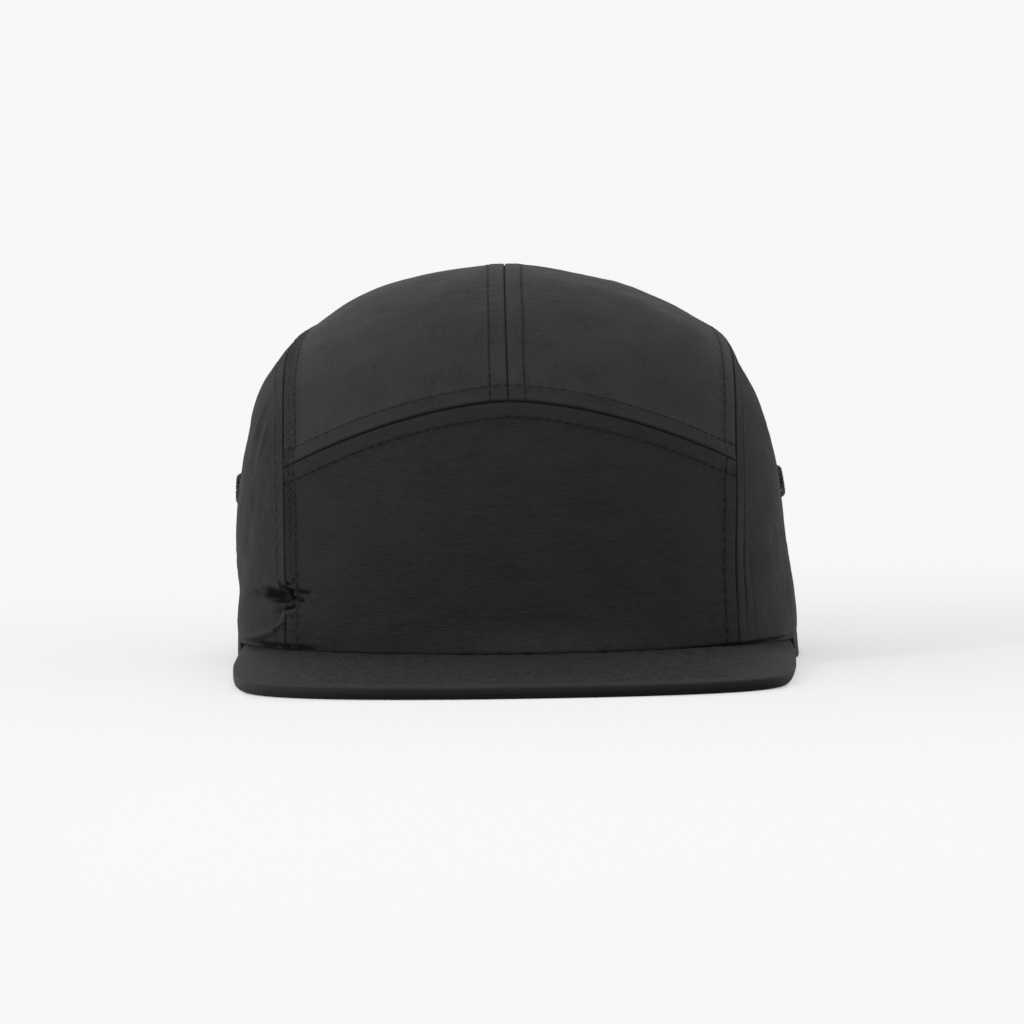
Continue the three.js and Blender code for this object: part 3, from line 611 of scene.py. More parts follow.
@dataclass(frozen=True)
class Workshop:
    """Turns meshes in millimetres into pieces of the scene."""

    middle: tuple[float, float]

    def piece(self, name: str, mesh: Mesh, material: bpy.types.Material, nodes: tuple[str, ...], slot: str,
              crease: float = 40.0) -> bpy.types.Object:
        """Adds a piece of the cap to the scene.

        Args:
            name: The piece's name.
            mesh: Its mesh in millimetres.
            material: Its finish.
            nodes: The nodes of the frame that it stands for.
            slot: The material slot in the record that matches the piece. Not used.
            crease: Degrees between faces above which an edge stays sharp.

        Returns:
            The new object.
        """
        data = bpy.data.meshes.new(name)
        points = (mesh.points + np.array([*self.middle, 0.0])) * MILLIMETRE
        data.from_pydata(points.tolist(), [], mesh.faces)
        if mesh.cloth_places is not None:
            layer = data.uv_layers.new(name="cloth")
            corners = np.empty(len(data.loops), dtype=np.int32)
            data.loops.foreach_get("vertex_index", corners)
            layer.data.foreach_set("uv", (mesh.cloth_places[corners] * MILLIMETRE).astype(np.float32).ravel())
        for word, values in mesh.masks.items():
            attribute = data.attributes.new(word, "FLOAT", "POINT")
            attribute.data.foreach_set("value", values.astype(np.float32))
        data.shade_smooth()
        data.set_sharp_from_angle(angle=math.radians(crease))
        data.materials.append(material)
        piece = bpy.data.objects.new(name, data)
        bpy.context.scene.collection.objects.link(piece)
        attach(piece, "root")
        if nodes:
            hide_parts(*nodes)
        triangles = sum(len(p.vertices) - 2 for p in data.polygons)
        LOG.info("%s: %d triangles", name, triangles)
        return piece


# Finishes


class Nodes:
    """A small helper that adds and joins nodes in one node tree."""

    def __init__(self, tree: bpy.types.NodeTree) -> None:
        """Keeps the tree.

        Args:
            tree: The node tree to add to.
        """
        self.tree = tree

    def add(self, kind: str, inputs: dict[str | int, object] | None = None, **settings: object) -> bpy.types.Node:
        """Adds a node.

        Args:
            kind: The node's type name, without its ShaderNode prefix.
            inputs: Socket values, or sockets to join, by socket name or index.
            **settings: The node's own settings.

        Returns:
            The new node.
        """
        node = self.tree.nodes.new(kind if kind.startswith("Node") else "ShaderNode" + kind)
        for word, value in settings.items():
            setattr(node, word, value)
        for key, value in (inputs or {}).items():
            if isinstance(value, bpy.types.NodeSocket):
                self.tree.links.new(value, node.inputs[key])
            else:
                node.inputs[key].default_value = value
        return node

    def maths(self, operation: str, *values: object) -> bpy.types.NodeSocket:
        """The result of a sum on values or sockets."""
        return self.add("Math", dict(enumerate(values)), operation=operation).outputs[0]

    def group(self, tree: bpy.types.NodeTree, **inputs: object) -> bpy.types.Node:
        """Places a shader group with its own values."""
        node = self.add("Group")
        node.node_tree = tree
        for word, value in inputs.items():
            socket = node.inputs[word.replace("_", " ").capitalize()]
            if isinstance(value, bpy.types.NodeSocket):
                self.tree.links.new(value, socket)
            else:
                socket.default_value = value
        return node


def new_group(name: str, inputs: dict[str, float], outputs: tuple[str, ...]) -> tuple[bpy.types.NodeTree, Nodes]:
    """Starts a shader group whose sockets are numbers.

    Args:
        name: The group's name.
        inputs: The inputs' names and usual values.
        outputs: The outputs' names.

    Returns:
        The group and a helper for its nodes.
    """
    tree = bpy.data.node_groups.new(name, "ShaderNodeTree")
    for word, value in inputs.items():
        socket = tree.interface.new_socket(word, in_out="INPUT", socket_type="NodeSocketFloat")
        socket.default_value = value
    for word in outputs:
        tree.interface.new_socket(word, in_out="OUTPUT", socket_type="NodeSocketFloat")
    return tree, Nodes(tree)


class Effects:
    """The shader groups that several finishes share."""

    def __init__(self) -> None:
        """Builds every group once."""
        self.weave = self.build_weave()
        self.crinkle = self.build_crinkle()
        self.wear = self.build_wear()
        self.mottle = self.build_mottle()

    @staticmethod
    def build_weave() -> bpy.types.NodeTree:
        """A plain weave: its height from the cloth's own places."""
        tree, nodes = new_group("plain_weave", {"Pitch": 0.4, "Slant": 0.0}, ("Height",))
        inside = nodes.add("NodeGroupInput")
        places = nodes.add("UVMap", uv_map="cloth").outputs[0]
        parts = nodes.add("SeparateXYZ", {0: places})
        scale = nodes.maths("DIVIDE", 2000.0 * math.pi, inside.outputs["Pitch"])
        leaning = nodes.maths("MULTIPLY_ADD", parts.outputs["Y"], inside.outputs["Slant"], parts.outputs["X"])
        warp = nodes.maths("SINE", nodes.maths("MULTIPLY", leaning, scale))
        weft = nodes.maths("SINE", nodes.maths("MULTIPLY", parts.outputs["Y"], scale))
        crossing = nodes.maths("MULTIPLY", warp, weft)
        out = nodes.add("NodeGroupOutput")
        tree.links.new(nodes.maths("MULTIPLY_ADD", crossing, 0.5, 0.5), out.inputs["Height"])
        return tree

    @staticmethod
    def build_crinkle() -> bpy.types.NodeTree:
        """The fine crinkle of thin nylon: its height, and a mask of its thin creases."""
        words = {"Size": 3.0, "Stretch": 3.0, "Detail": 3.0, "Patchiness": 0.5}
        tree, nodes = new_group("nylon_crinkle", words, ("Height", "Crease"))
        inside = nodes.add("NodeGroupInput")
        places = nodes.add("UVMap", uv_map="cloth").outputs[0]
        parts = nodes.add("SeparateXYZ", {0: places})
        up = nodes.maths("MULTIPLY", parts.outputs["Y"], inside.outputs["Stretch"])
        joined = nodes.add("CombineXYZ", {0: parts.outputs["X"], 1: up, 2: 0.0}).outputs[0]
        scale = nodes.maths("DIVIDE", 1000.0, inside.outputs["Size"])
        noise = nodes.add("TexNoise", {"Vector": joined, "Scale": scale, "Detail": inside.outputs["Detail"],
                                       "Roughness": 0.55, "Distortion": 0.6})
        away = nodes.maths("ABSOLUTE", nodes.maths("SUBTRACT", noise.outputs[0], 0.5))
        patch = nodes.add("TexNoise", {"Vector": places, "Scale": 70.0, "Detail": 3.0, "Roughness": 0.6}).outputs[0]
        calm = nodes.add("MapRange", {0: patch, 1: 0.42, 2: 0.6, 3: 1.0, 4: 0.0}).outputs[0]
        quiet = nodes.maths("MULTIPLY", calm, inside.outputs["Patchiness"])
        strength = nodes.maths("SUBTRACT", 1.0, quiet)
        out = nodes.add("NodeGroupOutput")
        height = nodes.maths("MULTIPLY_ADD", nodes.maths("MULTIPLY", away, strength), -2.0, 1.0)
        tree.links.new(height, out.inputs["Height"])
        thin = nodes.add("MapRange", {0: away, 1: 0.0, 2: 0.035, 3: 1.0, 4: 0.0}).outputs[0]
        tree.links.new(nodes.maths("MULTIPLY", thin, strength), out.inputs["Crease"])
        return tree

    @staticmethod
    def build_wear() -> bpy.types.NodeTree:
        """Painted highlight along raised seams, folds and edges, and painted shade in ditches, holes and shaded faces,
        from the masks that the meshes carry.
        """
        tree, nodes = new_group("seam_wear", {"Rub": 1.0, "Dirt": 1.0}, ("Rub", "Dirt"))
        inside = nodes.add("NodeGroupInput")
        ridge = nodes.add("Attribute", attribute_name="ridge").outputs["Fac"]
        ditch = nodes.add("Attribute", attribute_name="ditch").outputs["Fac"]
        places = nodes.add("TexCoord").outputs["Object"]
        patchy = nodes.add("TexNoise", {"Vector": places, "Scale": 220.0, "Detail": 5.0, "Roughness": 0.6}).outputs[0]
        spread = nodes.add("MapRange", {0: patchy, 1: 0.35, 2: 0.7, 3: 0.15, 4: 1.0}).outputs[0]
        out = nodes.add("NodeGroupOutput")
        rub = nodes.maths("MULTIPLY", nodes.maths("MULTIPLY", ridge, spread), inside.outputs["Rub"])
        tree.links.new(rub, out.inputs["Rub"])
        tree.links.new(nodes.maths("MULTIPLY", ditch, inside.outputs["Dirt"]), out.inputs["Dirt"])
        return tree

    @staticmethod
    def build_mottle() -> bpy.types.NodeTree:
        """Soft patches of lighter and darker cloth."""
        tree, nodes = new_group("soft_mottle", {"Size": 14.0}, ("Value",))
        inside = nodes.add("NodeGroupInput")
        places = nodes.add("TexCoord").outputs["Object"]
        scale = nodes.maths("DIVIDE", 1000.0, inside.outputs["Size"])
        noise = nodes.add("TexNoise", {"Vector": places, "Scale": scale, "Detail": 3.0, "Roughness": 0.5}).outputs[0]
        spread = nodes.add("MapRange", {0: noise, 1: 0.3, 2: 0.7, 3: 0.0, 4: 1.0}).outputs[0]
        out = nodes.add("NodeGroupOutput")
        tree.links.new(spread, out.inputs["Value"])
        return tree


@dataclass(frozen=True)
class ClothFinish:
    """A woven cloth: its colours, its weave and its sheen."""

    name: str
    dark: tuple[float, float, float]
    light: tuple[float, float, float]
    roughness: float = 0.62
    sheen: float = 0.25
    specular: float = 0.4
    pitch: float = 0.42
    slant: float = 0.0
    weave_depth: float = 0.02
    crinkle: float = 3.0
    stretch: float = 3.0
    crinkle_depth: float = 0.4
    patchiness: float = 0.5
    cloudy: float = 0.5
    # The next two set how strongly the crinkle's raised parts are painted lighter and its creases darker: painted light
    # and shade.
    streak: float = 3.0
    crease: float = 0.3
    # How strongly the ridge mask paints the cloth lighter: a painted highlight.
    rub: float = 0.5

    def material(self, effects: Effects) -> bpy.types.Material:
        """Builds the cloth's material from the shared effects."""
        material = bpy.data.materials.new(self.name)
        material.use_nodes = True
        nodes = Nodes(material.node_tree)
        shader = material.node_tree.nodes["Principled BSDF"]
        mottle = nodes.group(effects.mottle, size=12.0).outputs[0]
        wear = nodes.group(effects.wear, rub=self.rub, dirt=0.85)
        crinkled = nodes.group(effects.crinkle, size=self.crinkle, stretch=self.stretch, patchiness=self.patchiness)
        crinkle, crease = crinkled.outputs["Height"], crinkled.outputs["Crease"]
        mottle = nodes.maths("MULTIPLY_ADD", mottle, self.cloudy, 0.5 - 0.5 * self.cloudy)
        # The crinkle's raised parts are painted lighter and its creases darker: painted light and shade, added to the
        # random mottle.
        mottle = nodes.maths("MULTIPLY_ADD", nodes.maths("SUBTRACT", crinkle, 0.8), self.streak, mottle)
        mottle = nodes.maths("MULTIPLY_ADD", crease, -self.crease * self.streak, mottle)
        cloth = nodes.add("Mix", {"Factor": mottle}, data_type="RGBA")
        cloth.inputs["A"].default_value = (*self.dark, 1.0)
        cloth.inputs["B"].default_value = (*self.light, 1.0)
        # Painted highlight from the ridge mask.
        highlighted = nodes.add("Mix", {"Factor": wear.outputs["Rub"]}, data_type="RGBA")
        material.node_tree.links.new(cloth.outputs["Result"], highlighted.inputs["A"])
        highlighted.inputs["B"].default_value = (*(min(1.0, 2.1 * c) for c in self.light), 1.0)
        # Painted shade from the ditch mask: ditches, holes, the pinch and shaded faces.
        shaded = nodes.add("Mix", {"Factor": wear.outputs["Dirt"]}, data_type="RGBA")
        material.node_tree.links.new(highlighted.outputs["Result"], shaded.inputs["A"])
        shaded.inputs["B"].default_value = (*(0.22 * c for c in self.dark), 1.0)
        material.node_tree.links.new(shaded.outputs["Result"], shader.inputs["Base Color"])
        weave = nodes.group(effects.weave, pitch=self.pitch, slant=self.slant).outputs[0]
        rough = nodes.maths("MULTIPLY_ADD", wear.outputs["Dirt"], 0.3, self.roughness)
        material.node_tree.links.new(nodes.maths("MULTIPLY_ADD", weave, 0.06, rough), shader.inputs["Roughness"])
        low = nodes.add("Bump", {"Height": crinkle, "Strength": 1.0, "Distance": self.crinkle_depth * MILLIMETRE})
        fine = nodes.add("Bump", {"Height": weave, "Strength": 1.0, "Distance": self.weave_depth * MILLIMETRE,
                                  "Normal": low.outputs[0]})
        material.node_tree.links.new(fine.outputs[0], shader.inputs["Normal"])
        shader.inputs["Sheen Weight"].default_value = self.sheen
        shader.inputs["Sheen Roughness"].default_value = 0.45
        shader.inputs["Specular IOR Level"].default_value = self.specular
        return material


@dataclass(frozen=True)
class ThreadFinish:
    """Sewing thread."""

    name: str
    colour: tuple[float, float, float]
    roughness: float = 0.5
    specular: float = 0.15
    contrast: float = 1.0

    def material(self, effects: Effects) -> bpy.types.Material:
        """Builds the thread's material from the shared effects."""
        material = bpy.data.materials.new(self.name)
        material.use_nodes = True
        nodes = Nodes(material.node_tree)
        shader = material.node_tree.nodes["Principled BSDF"]
        mottle = nodes.group(effects.mottle, size=1.6).outputs[0]
        colour = nodes.add("Mix", {"Factor": mottle}, data_type="RGBA")
        colour.inputs["A"].default_value = (*(c / (1.0 + 0.5 * self.contrast) for c in self.colour), 1.0)
        colour.inputs["B"].default_value = (*(c * (1.0 + 0.5 * self.contrast) for c in self.colour), 1.0)
        material.node_tree.links.new(colour.outputs["Result"], shader.inputs["Base Color"])
        places = nodes.add("TexCoord").outputs["Object"]
        fibres = nodes.add("TexNoise", {"Vector": places, "Scale": 9000.0, "Detail": 2.0}).outputs[0]
        bump = nodes.add("Bump", {"Height": fibres, "Strength": 0.6, "Distance": 0.00004})
        material.node_tree.links.new(bump.outputs[0], shader.inputs["Normal"])
        rough = nodes.maths("MULTIPLY_ADD", fibres, 0.2, self.roughness - 0.1)
        material.node_tree.links.new(rough, shader.inputs["Roughness"])
        shader.inputs["Specular IOR Level"].default_value = self.specular
        return material


@dataclass(frozen=True)
class PlasticFinish:
    """Moulded plastic with a fine grain."""

    name: str
    colour: tuple[float, float, float]
    roughness: float = 0.42

    def material(self, effects: Effects) -> bpy.types.Material:
        """Builds the plastic's material from the shared effects."""
        material = bpy.data.materials.new(self.name)
        material.use_nodes = True
        nodes = Nodes(material.node_tree)
        shader = material.node_tree.nodes["Principled BSDF"]
        # The clip's raised ends are painted lighter from its ridge mask: a painted highlight.
        wear = nodes.group(effects.wear, rub=0.8, dirt=0.3)
        colour = nodes.add("Mix", {"Factor": wear.outputs["Rub"]}, data_type="RGBA")
        colour.inputs["A"].default_value = (*self.colour, 1.0)
        colour.inputs["B"].default_value = (*(2.4 * c for c in self.colour), 1.0)
        material.node_tree.links.new(colour.outputs["Result"], shader.inputs["Base Color"])
        places = nodes.add("TexCoord").outputs["Object"]
        grain = nodes.add("TexVoronoi", {"Vector": places, "Scale": 1900.0, "Randomness": 0.9}).outputs["Distance"]
        bump = nodes.add("Bump", {"Height": grain, "Strength": 0.5, "Distance": 0.00003})
        material.node_tree.links.new(bump.outputs[0], shader.inputs["Normal"])
        rough = nodes.maths("MULTIPLY_ADD", grain, 0.15, self.roughness - 0.05)
        material.node_tree.links.new(rough, shader.inputs["Roughness"])
        return material


# Seams and stitches


@dataclass(frozen=True)
class EdgeStyle:
    """How the cloth rises, turns in and puckers along one edge of a panel. Lengths are in millimetres."""

    crest: float = 0.0
    allowance: float = 0.3
    ditch: float = 0.95
    ditch_width: float = 0.6
    stitch_offset: float = 5.0
    valley: float = 0.5
    valley_width: float = 0.3
    pucker: float = 0.12
    pucker_length: float = 2.6
    slant: float = 0.8
    pull: float = 0.09
    thin_ends: float = 0.0
    # How strongly the ditch beside the line is painted dark: a painted shade.
    dirt: float = 1.0
    # Above 0 the strip between the line and its stitches is painted darker, a painted shade; below 0 it is painted
    # lighter, a painted highlight.
    strip: float = 0.0
    puckered: tuple[float, float] = (-100.0, 900.0)


SIDE_STYLE = EdgeStyle(crest=0.7, pucker=0.05)
ROPED_STYLE = EdgeStyle(crest=0.7, pucker=1.05, pucker_length=2.2, slant=-1.1, puckered=(26.0, 125.0))
ARCH_STYLE = EdgeStyle(crest=1.0, ditch=1.1, ditch_width=0.9, pucker=0.05, thin_ends=0.5, strip=-0.3)
UPPER_ARCH_STYLE = replace(ARCH_STYLE, strip=0.3)
CENTRE_STYLE = EdgeStyle(ditch=0.7, ditch_width=0.42, dirt=0.8, pucker=0.09, pull=0.05)
OPENING_STYLE = EdgeStyle(ditch=0.6, ditch_width=0.9, allowance=0.4, pucker=0.08)
RIM_STYLE = EdgeStyle(ditch=0.2, ditch_width=0.6, allowance=0.0, stitch_offset=0.0, valley=0.0, pucker=0.0,
                      pull=0.03, dirt=0.15)


class EdgeLine:
    """A seam or hem on the crown, with what is needed to find the cloth's distance from it."""

    def __init__(self, form: CrownForm, curve: DiskCurve, style: EdgeStyle, seed: int) -> None:
        """Works out the line's places and directions.

        Args:
            form: The crown that it lies on.
            curve: The line's curve.
            style: How the cloth behaves along it.
            seed: Picks its puckers.
        """
        self.style = style
        self.seed = seed
        steps = max(8, int(curve.total / 0.5))
        disk = curve.at(np.linspace(0.0, 1.0, steps + 1))
        self.points = form.point(disk)
        self.normals = form.normal(disk)
        self.tangents = unit(np.gradient(self.points, axis=0))
        self.along = np.linspace(0.0, curve.total, steps + 1)

    def sewn_offset(self, along: Array) -> Array:
        """How far from the line its stitches run, which wanders a little."""
        return self.style.stitch_offset + 0.22 * line_noise(along, 21.0, self.seed + 3)

    def ditch_width(self, along: Array) -> Array:
        """How wide the ditch is, which may narrow towards the line's ends."""
        share = 2.0 * along / self.along[-1] - 1.0
        return self.style.ditch_width * (1.0 - self.style.thin_ends * share * share)

    def distances(self, points: Array) -> tuple[Array, Array]:
        """How far places lie from the line, and where along it.

        Args:
            points: Places in rows of three.

        Returns:
            The distances and the lengths along the line.
        """
        squares = np.einsum("ij,ij->i", self.points, self.points)
        nearest = np.empty(len(points), dtype=int)
        for start in range(0, len(points), 4000):
            chunk = points[start : start + 4000]
            nearest[start : start + 4000] = np.argmin(squares - 2.0 * chunk @ self.points.T, axis=1)
        offset = points - self.points[nearest]
        tangent = self.tangents[nearest]
        forward = np.einsum("ij,ij->i", offset, tangent)
        inside = np.clip(forward, -0.3, 0.3)
        off = np.linalg.norm(offset - tangent * inside[:, None], axis=-1)
        return off, self.along[nearest] + inside

    def pucker(self, off: Array, along: Array) -> tuple[Array, Array]:
        """The small puckers between the line and its stitches, and the pulls beyond them.

        Args:
            off: Distances from the line.
            along: Lengths along it.

        Returns:
            The height of both in millimetres, and the puckers' own pattern from about -0.4 to 0.6.
        """
        style = self.style
        reach = style.stitch_offset or 5.0
        patchy = 0.45 + 0.75 * np.clip(0.5 + line_noise(along, 16.0, self.seed), 0.0, 1.0)
        start, end = style.puckered
        strong = patchy * (0.12 + 0.88 * ease(along, start - 12.0, start + 6.0) * ease(along, end + 12.0, end - 6.0))
        wander = 1.3 * line_noise(along, 9.0, self.seed + 1)
        phase = 2 * np.pi * (along + style.slant * off) / style.pucker_length + wander
        inner = (0.6 - np.abs(np.sin(phase / 2)) ** 1.4) * np.sin(np.pi * np.clip(off / reach, 0.0, 1.0))
        pull_phase = 2 * np.pi * along / 4.3 + 2.5 * line_noise(along, 6.0, self.seed + 2)
        outer = np.sin(pull_phase) * np.clip(off / reach, 0.0, 1.0) * np.exp(-np.maximum(off - reach, 0.0) / 3.5)
        return strong * style.pucker * inner + patchy * style.pull * outer, strong * style.pucker * inner


def edge_relief(lines: list[EdgeLine], points: Array) -> tuple[Array, Array, Array, Array]:
    """How far the cloth stands out near its edges.

    Args:
        lines: The panel's edges.
        points: Places on the smooth crown in rows of three.

    Returns:
        The outer relief and the inner relief in millimetres, and the masks of painted highlight (ridge) and painted
        shade (ditch) from 0 to 1.
    """
    count = len(points)
    crest, lift, ditch = np.zeros(count), np.zeros(count), np.zeros(count)
    small, tape, ridge, hollow = np.zeros(count), np.zeros(count), np.zeros(count), np.zeros(count)
    for line in lines:
        style = line.style
        off, along = line.distances(points)
        crest = np.maximum(crest, style.crest * np.clip(1.0 - off / 13.0, 0.0, 1.0) ** 2)
        turn = np.clip(1.0 - off / line.ditch_width(along), 0.0, 1.0)
        ditch = np.maximum(ditch, style.ditch * turn**2)
        # Painted shade in the ditch.
        hollow = np.maximum(hollow, style.dirt * turn)
        puckers, pattern = line.pucker(off, along)
        small += puckers
        # Painted shade in the troughs of the puckers.
        hollow = np.maximum(hollow, 0.65 * ease(-pattern, 0.14, 0.34))
        # Painted highlight on the crests of the puckers.
        ridge = np.maximum(ridge, 2.4 * ease(pattern, 0.15, 0.5))
        if style.stitch_offset:
            past = off - line.sewn_offset(along)
            lift = np.maximum(lift, style.allowance * ease(past, 1.3, 0.1))
            holes = 0.7 + 0.3 * np.cos(2 * np.pi * along / Stitching.pitch)
            small -= style.valley * holes * np.exp(-((past / style.valley_width) ** 2))
            tape = np.maximum(tape, 0.35 * ease(past, 1.4, 0.9))
            # Painted highlight on the raised cloth beside the line.
            ridge = np.maximum(ridge, 0.5 * ease(off, 0.7, 1.4) * ease(off, 3.0, 1.6))
            # The strip between the line and its stitches: painted highlight where the style's strip is below 0 and
            # painted shade where it is above 0.
            ridge = np.maximum(ridge, -style.strip * ease(past, 0.3, -0.3))
            hollow = np.maximum(hollow, style.strip * ease(past, 0.3, -0.3))
            # Painted shade in the needle holes along the stitches.
            hollow = np.maximum(hollow, holes * np.exp(-((past / 0.3) ** 2)))
    return crest + lift - ditch + small, tape, ridge, hollow


@dataclass
class Stitching:
    """Runs of stitches, gathered into one mesh for each piece that they are sewn through."""

    pitch: float = 3.0
    length: float = 2.35
    radius: float = 0.2
    points: list[Array] = field(default_factory=list)
    faces: list[tuple[int, ...]] = field(default_factory=list)
    count: int = 0

    def follow(self, places: Array, normals: Array) -> None:
        """Sews along a path.

        Args:
            places: Places along the path on the cloth.
            normals: The cloth's outward directions there.
        """
        steps = np.linalg.norm(np.diff(places, axis=0), axis=-1)
        lengths = np.concatenate([[0.0], np.cumsum(steps)])
        number = int(lengths[-1] / self.pitch)
        if number < 1:
            return
        pitch = lengths[-1] / number
        rings = np.array([-1.0, -0.82, -0.4, 0.0, 0.4, 0.82, 1.0])
        girth = np.array([0.0, 0.7, 0.95, 1.0, 0.95, 0.7, 0.0])
        sink = -0.9 * np.abs(rings) ** 4 * self.radius + 0.35 * self.radius
        rng = np.random.default_rng(SEED + self.count)
        angles = np.arange(6) * np.pi / 3
        for k in range(number):
            centre = (k + 0.5) * pitch + rng.normal(0.0, 0.05)
            spots = centre + rings * self.length / 2
            path = np.stack([np.interp(spots, lengths, places[:, c]) for c in range(3)], axis=-1)
            up = unit(np.array([np.interp(centre, lengths, normals[:, c]) for c in range(3)]))
            ahead = unit(path[-1] - path[0])
            aside = unit(np.cross(up, ahead))
            path = path + up * sink[:, None] + aside * rng.normal(0.0, 0.04)
            base = self.count
            middle = path[1:-1, None, :] + self.radius * girth[1:-1, None, None] * (
                np.cos(angles)[None, :, None] * aside + np.sin(angles)[None, :, None] * up * 0.8
            )
            self.points.append(np.concatenate([path[:1], middle.reshape(-1, 3), path[-1:]]))
            end = base + 31
            for a in range(6):
                b = (a + 1) % 6
                self.faces.append((base, base + 1 + b, base + 1 + a))
                self.faces.append((end, base + 25 + a, base + 25 + b))
                for r in range(4):
                    low, high = base + 1 + 6 * r, base + 7 + 6 * r
                    self.faces.append((low + a, low + b, high + b, high + a))
            self.count += 32

    def along_edge(self, line: EdgeLine, tree: BVHTree, others: list[EdgeLine], clear: float = 1.0) -> None:
        """Sews along an edge line, at its stitch offset, on a panel.

        Args:
            line: The edge line.
            tree: The panel's search tree.
            others: The panel's other edges, which the stitches stop short of.
            clear: How far short of them.
        """
        aside = unit(np.cross(line.normals, line.tangents))
        best: list[list[tuple[Vector, Vector]]] = []
        for sign in (-1.0, 1.0):
            starts = line.points + sign * aside * line.sewn_offset(line.along)[:, None] + line.normals * 7.0
            runs: list[list[tuple[Vector, Vector]]] = [[]]
            near = np.full(len(starts), 99.0)
            for other in others:
                near = np.minimum(near, other.distances(starts - line.normals * 7.0)[0])
            for start, normal, room in zip(starts, line.normals, near):
                place, facing, _, _ = tree.ray_cast(Vector(start), Vector(-normal), 12.0)
                if place is None or facing.dot(Vector(normal)) < 0.3 or room < clear:
                    if runs[-1]:
                        runs.append([])
                    continue
                runs[-1].append((place, facing))
            if sum(map(len, runs)) > sum(map(len, best)):
                best = runs
        for run in best:
            if len(run) > 6:
                places = np.array([place for place, _ in run])
                places[1:-1] = (places[:-2] + places[1:-1] + places[2:]) / 3
                self.follow(places, np.array([facing for _, facing in run]))

    def mesh(self) -> Mesh:
        """All the stitches as one mesh."""
        return Mesh(np.concatenate(self.points), self.faces)


# The crown's panels

SEAM_STATIONS = (0.0, 0.15, 0.35, 0.6, 0.9, 1.3, 1.8, 2.4, 3.0, 3.6, 4.15, 4.5, 4.72, 4.9, 5.08, 5.28, 5.55, 5.95,
                 6.5, 7.2)
HEM_STATIONS = (0.0, 0.2, 0.45, 0.75, 1.1, 1.6)

# The strap's height and its lower edge above the floor, and how far past the opening its stitches lie.
STRAP_WIDTH = 20.0
STRAP_LIFT = 2.6
STRAP_ROWS = (7.4, 9.6)


@dataclass(frozen=True)
class PanelPlan:
    """One panel: its four edges, which of them are seams, and how each behaves."""

    name: str
    edges: dict[str, DiskCurve]
    lines: dict[str, EdgeLine]
    seams: tuple[str, ...]
    folds_seed: int
    across_cell: float = 1.0
    up_cell: float = 1.0
    crowding: float = 0.0


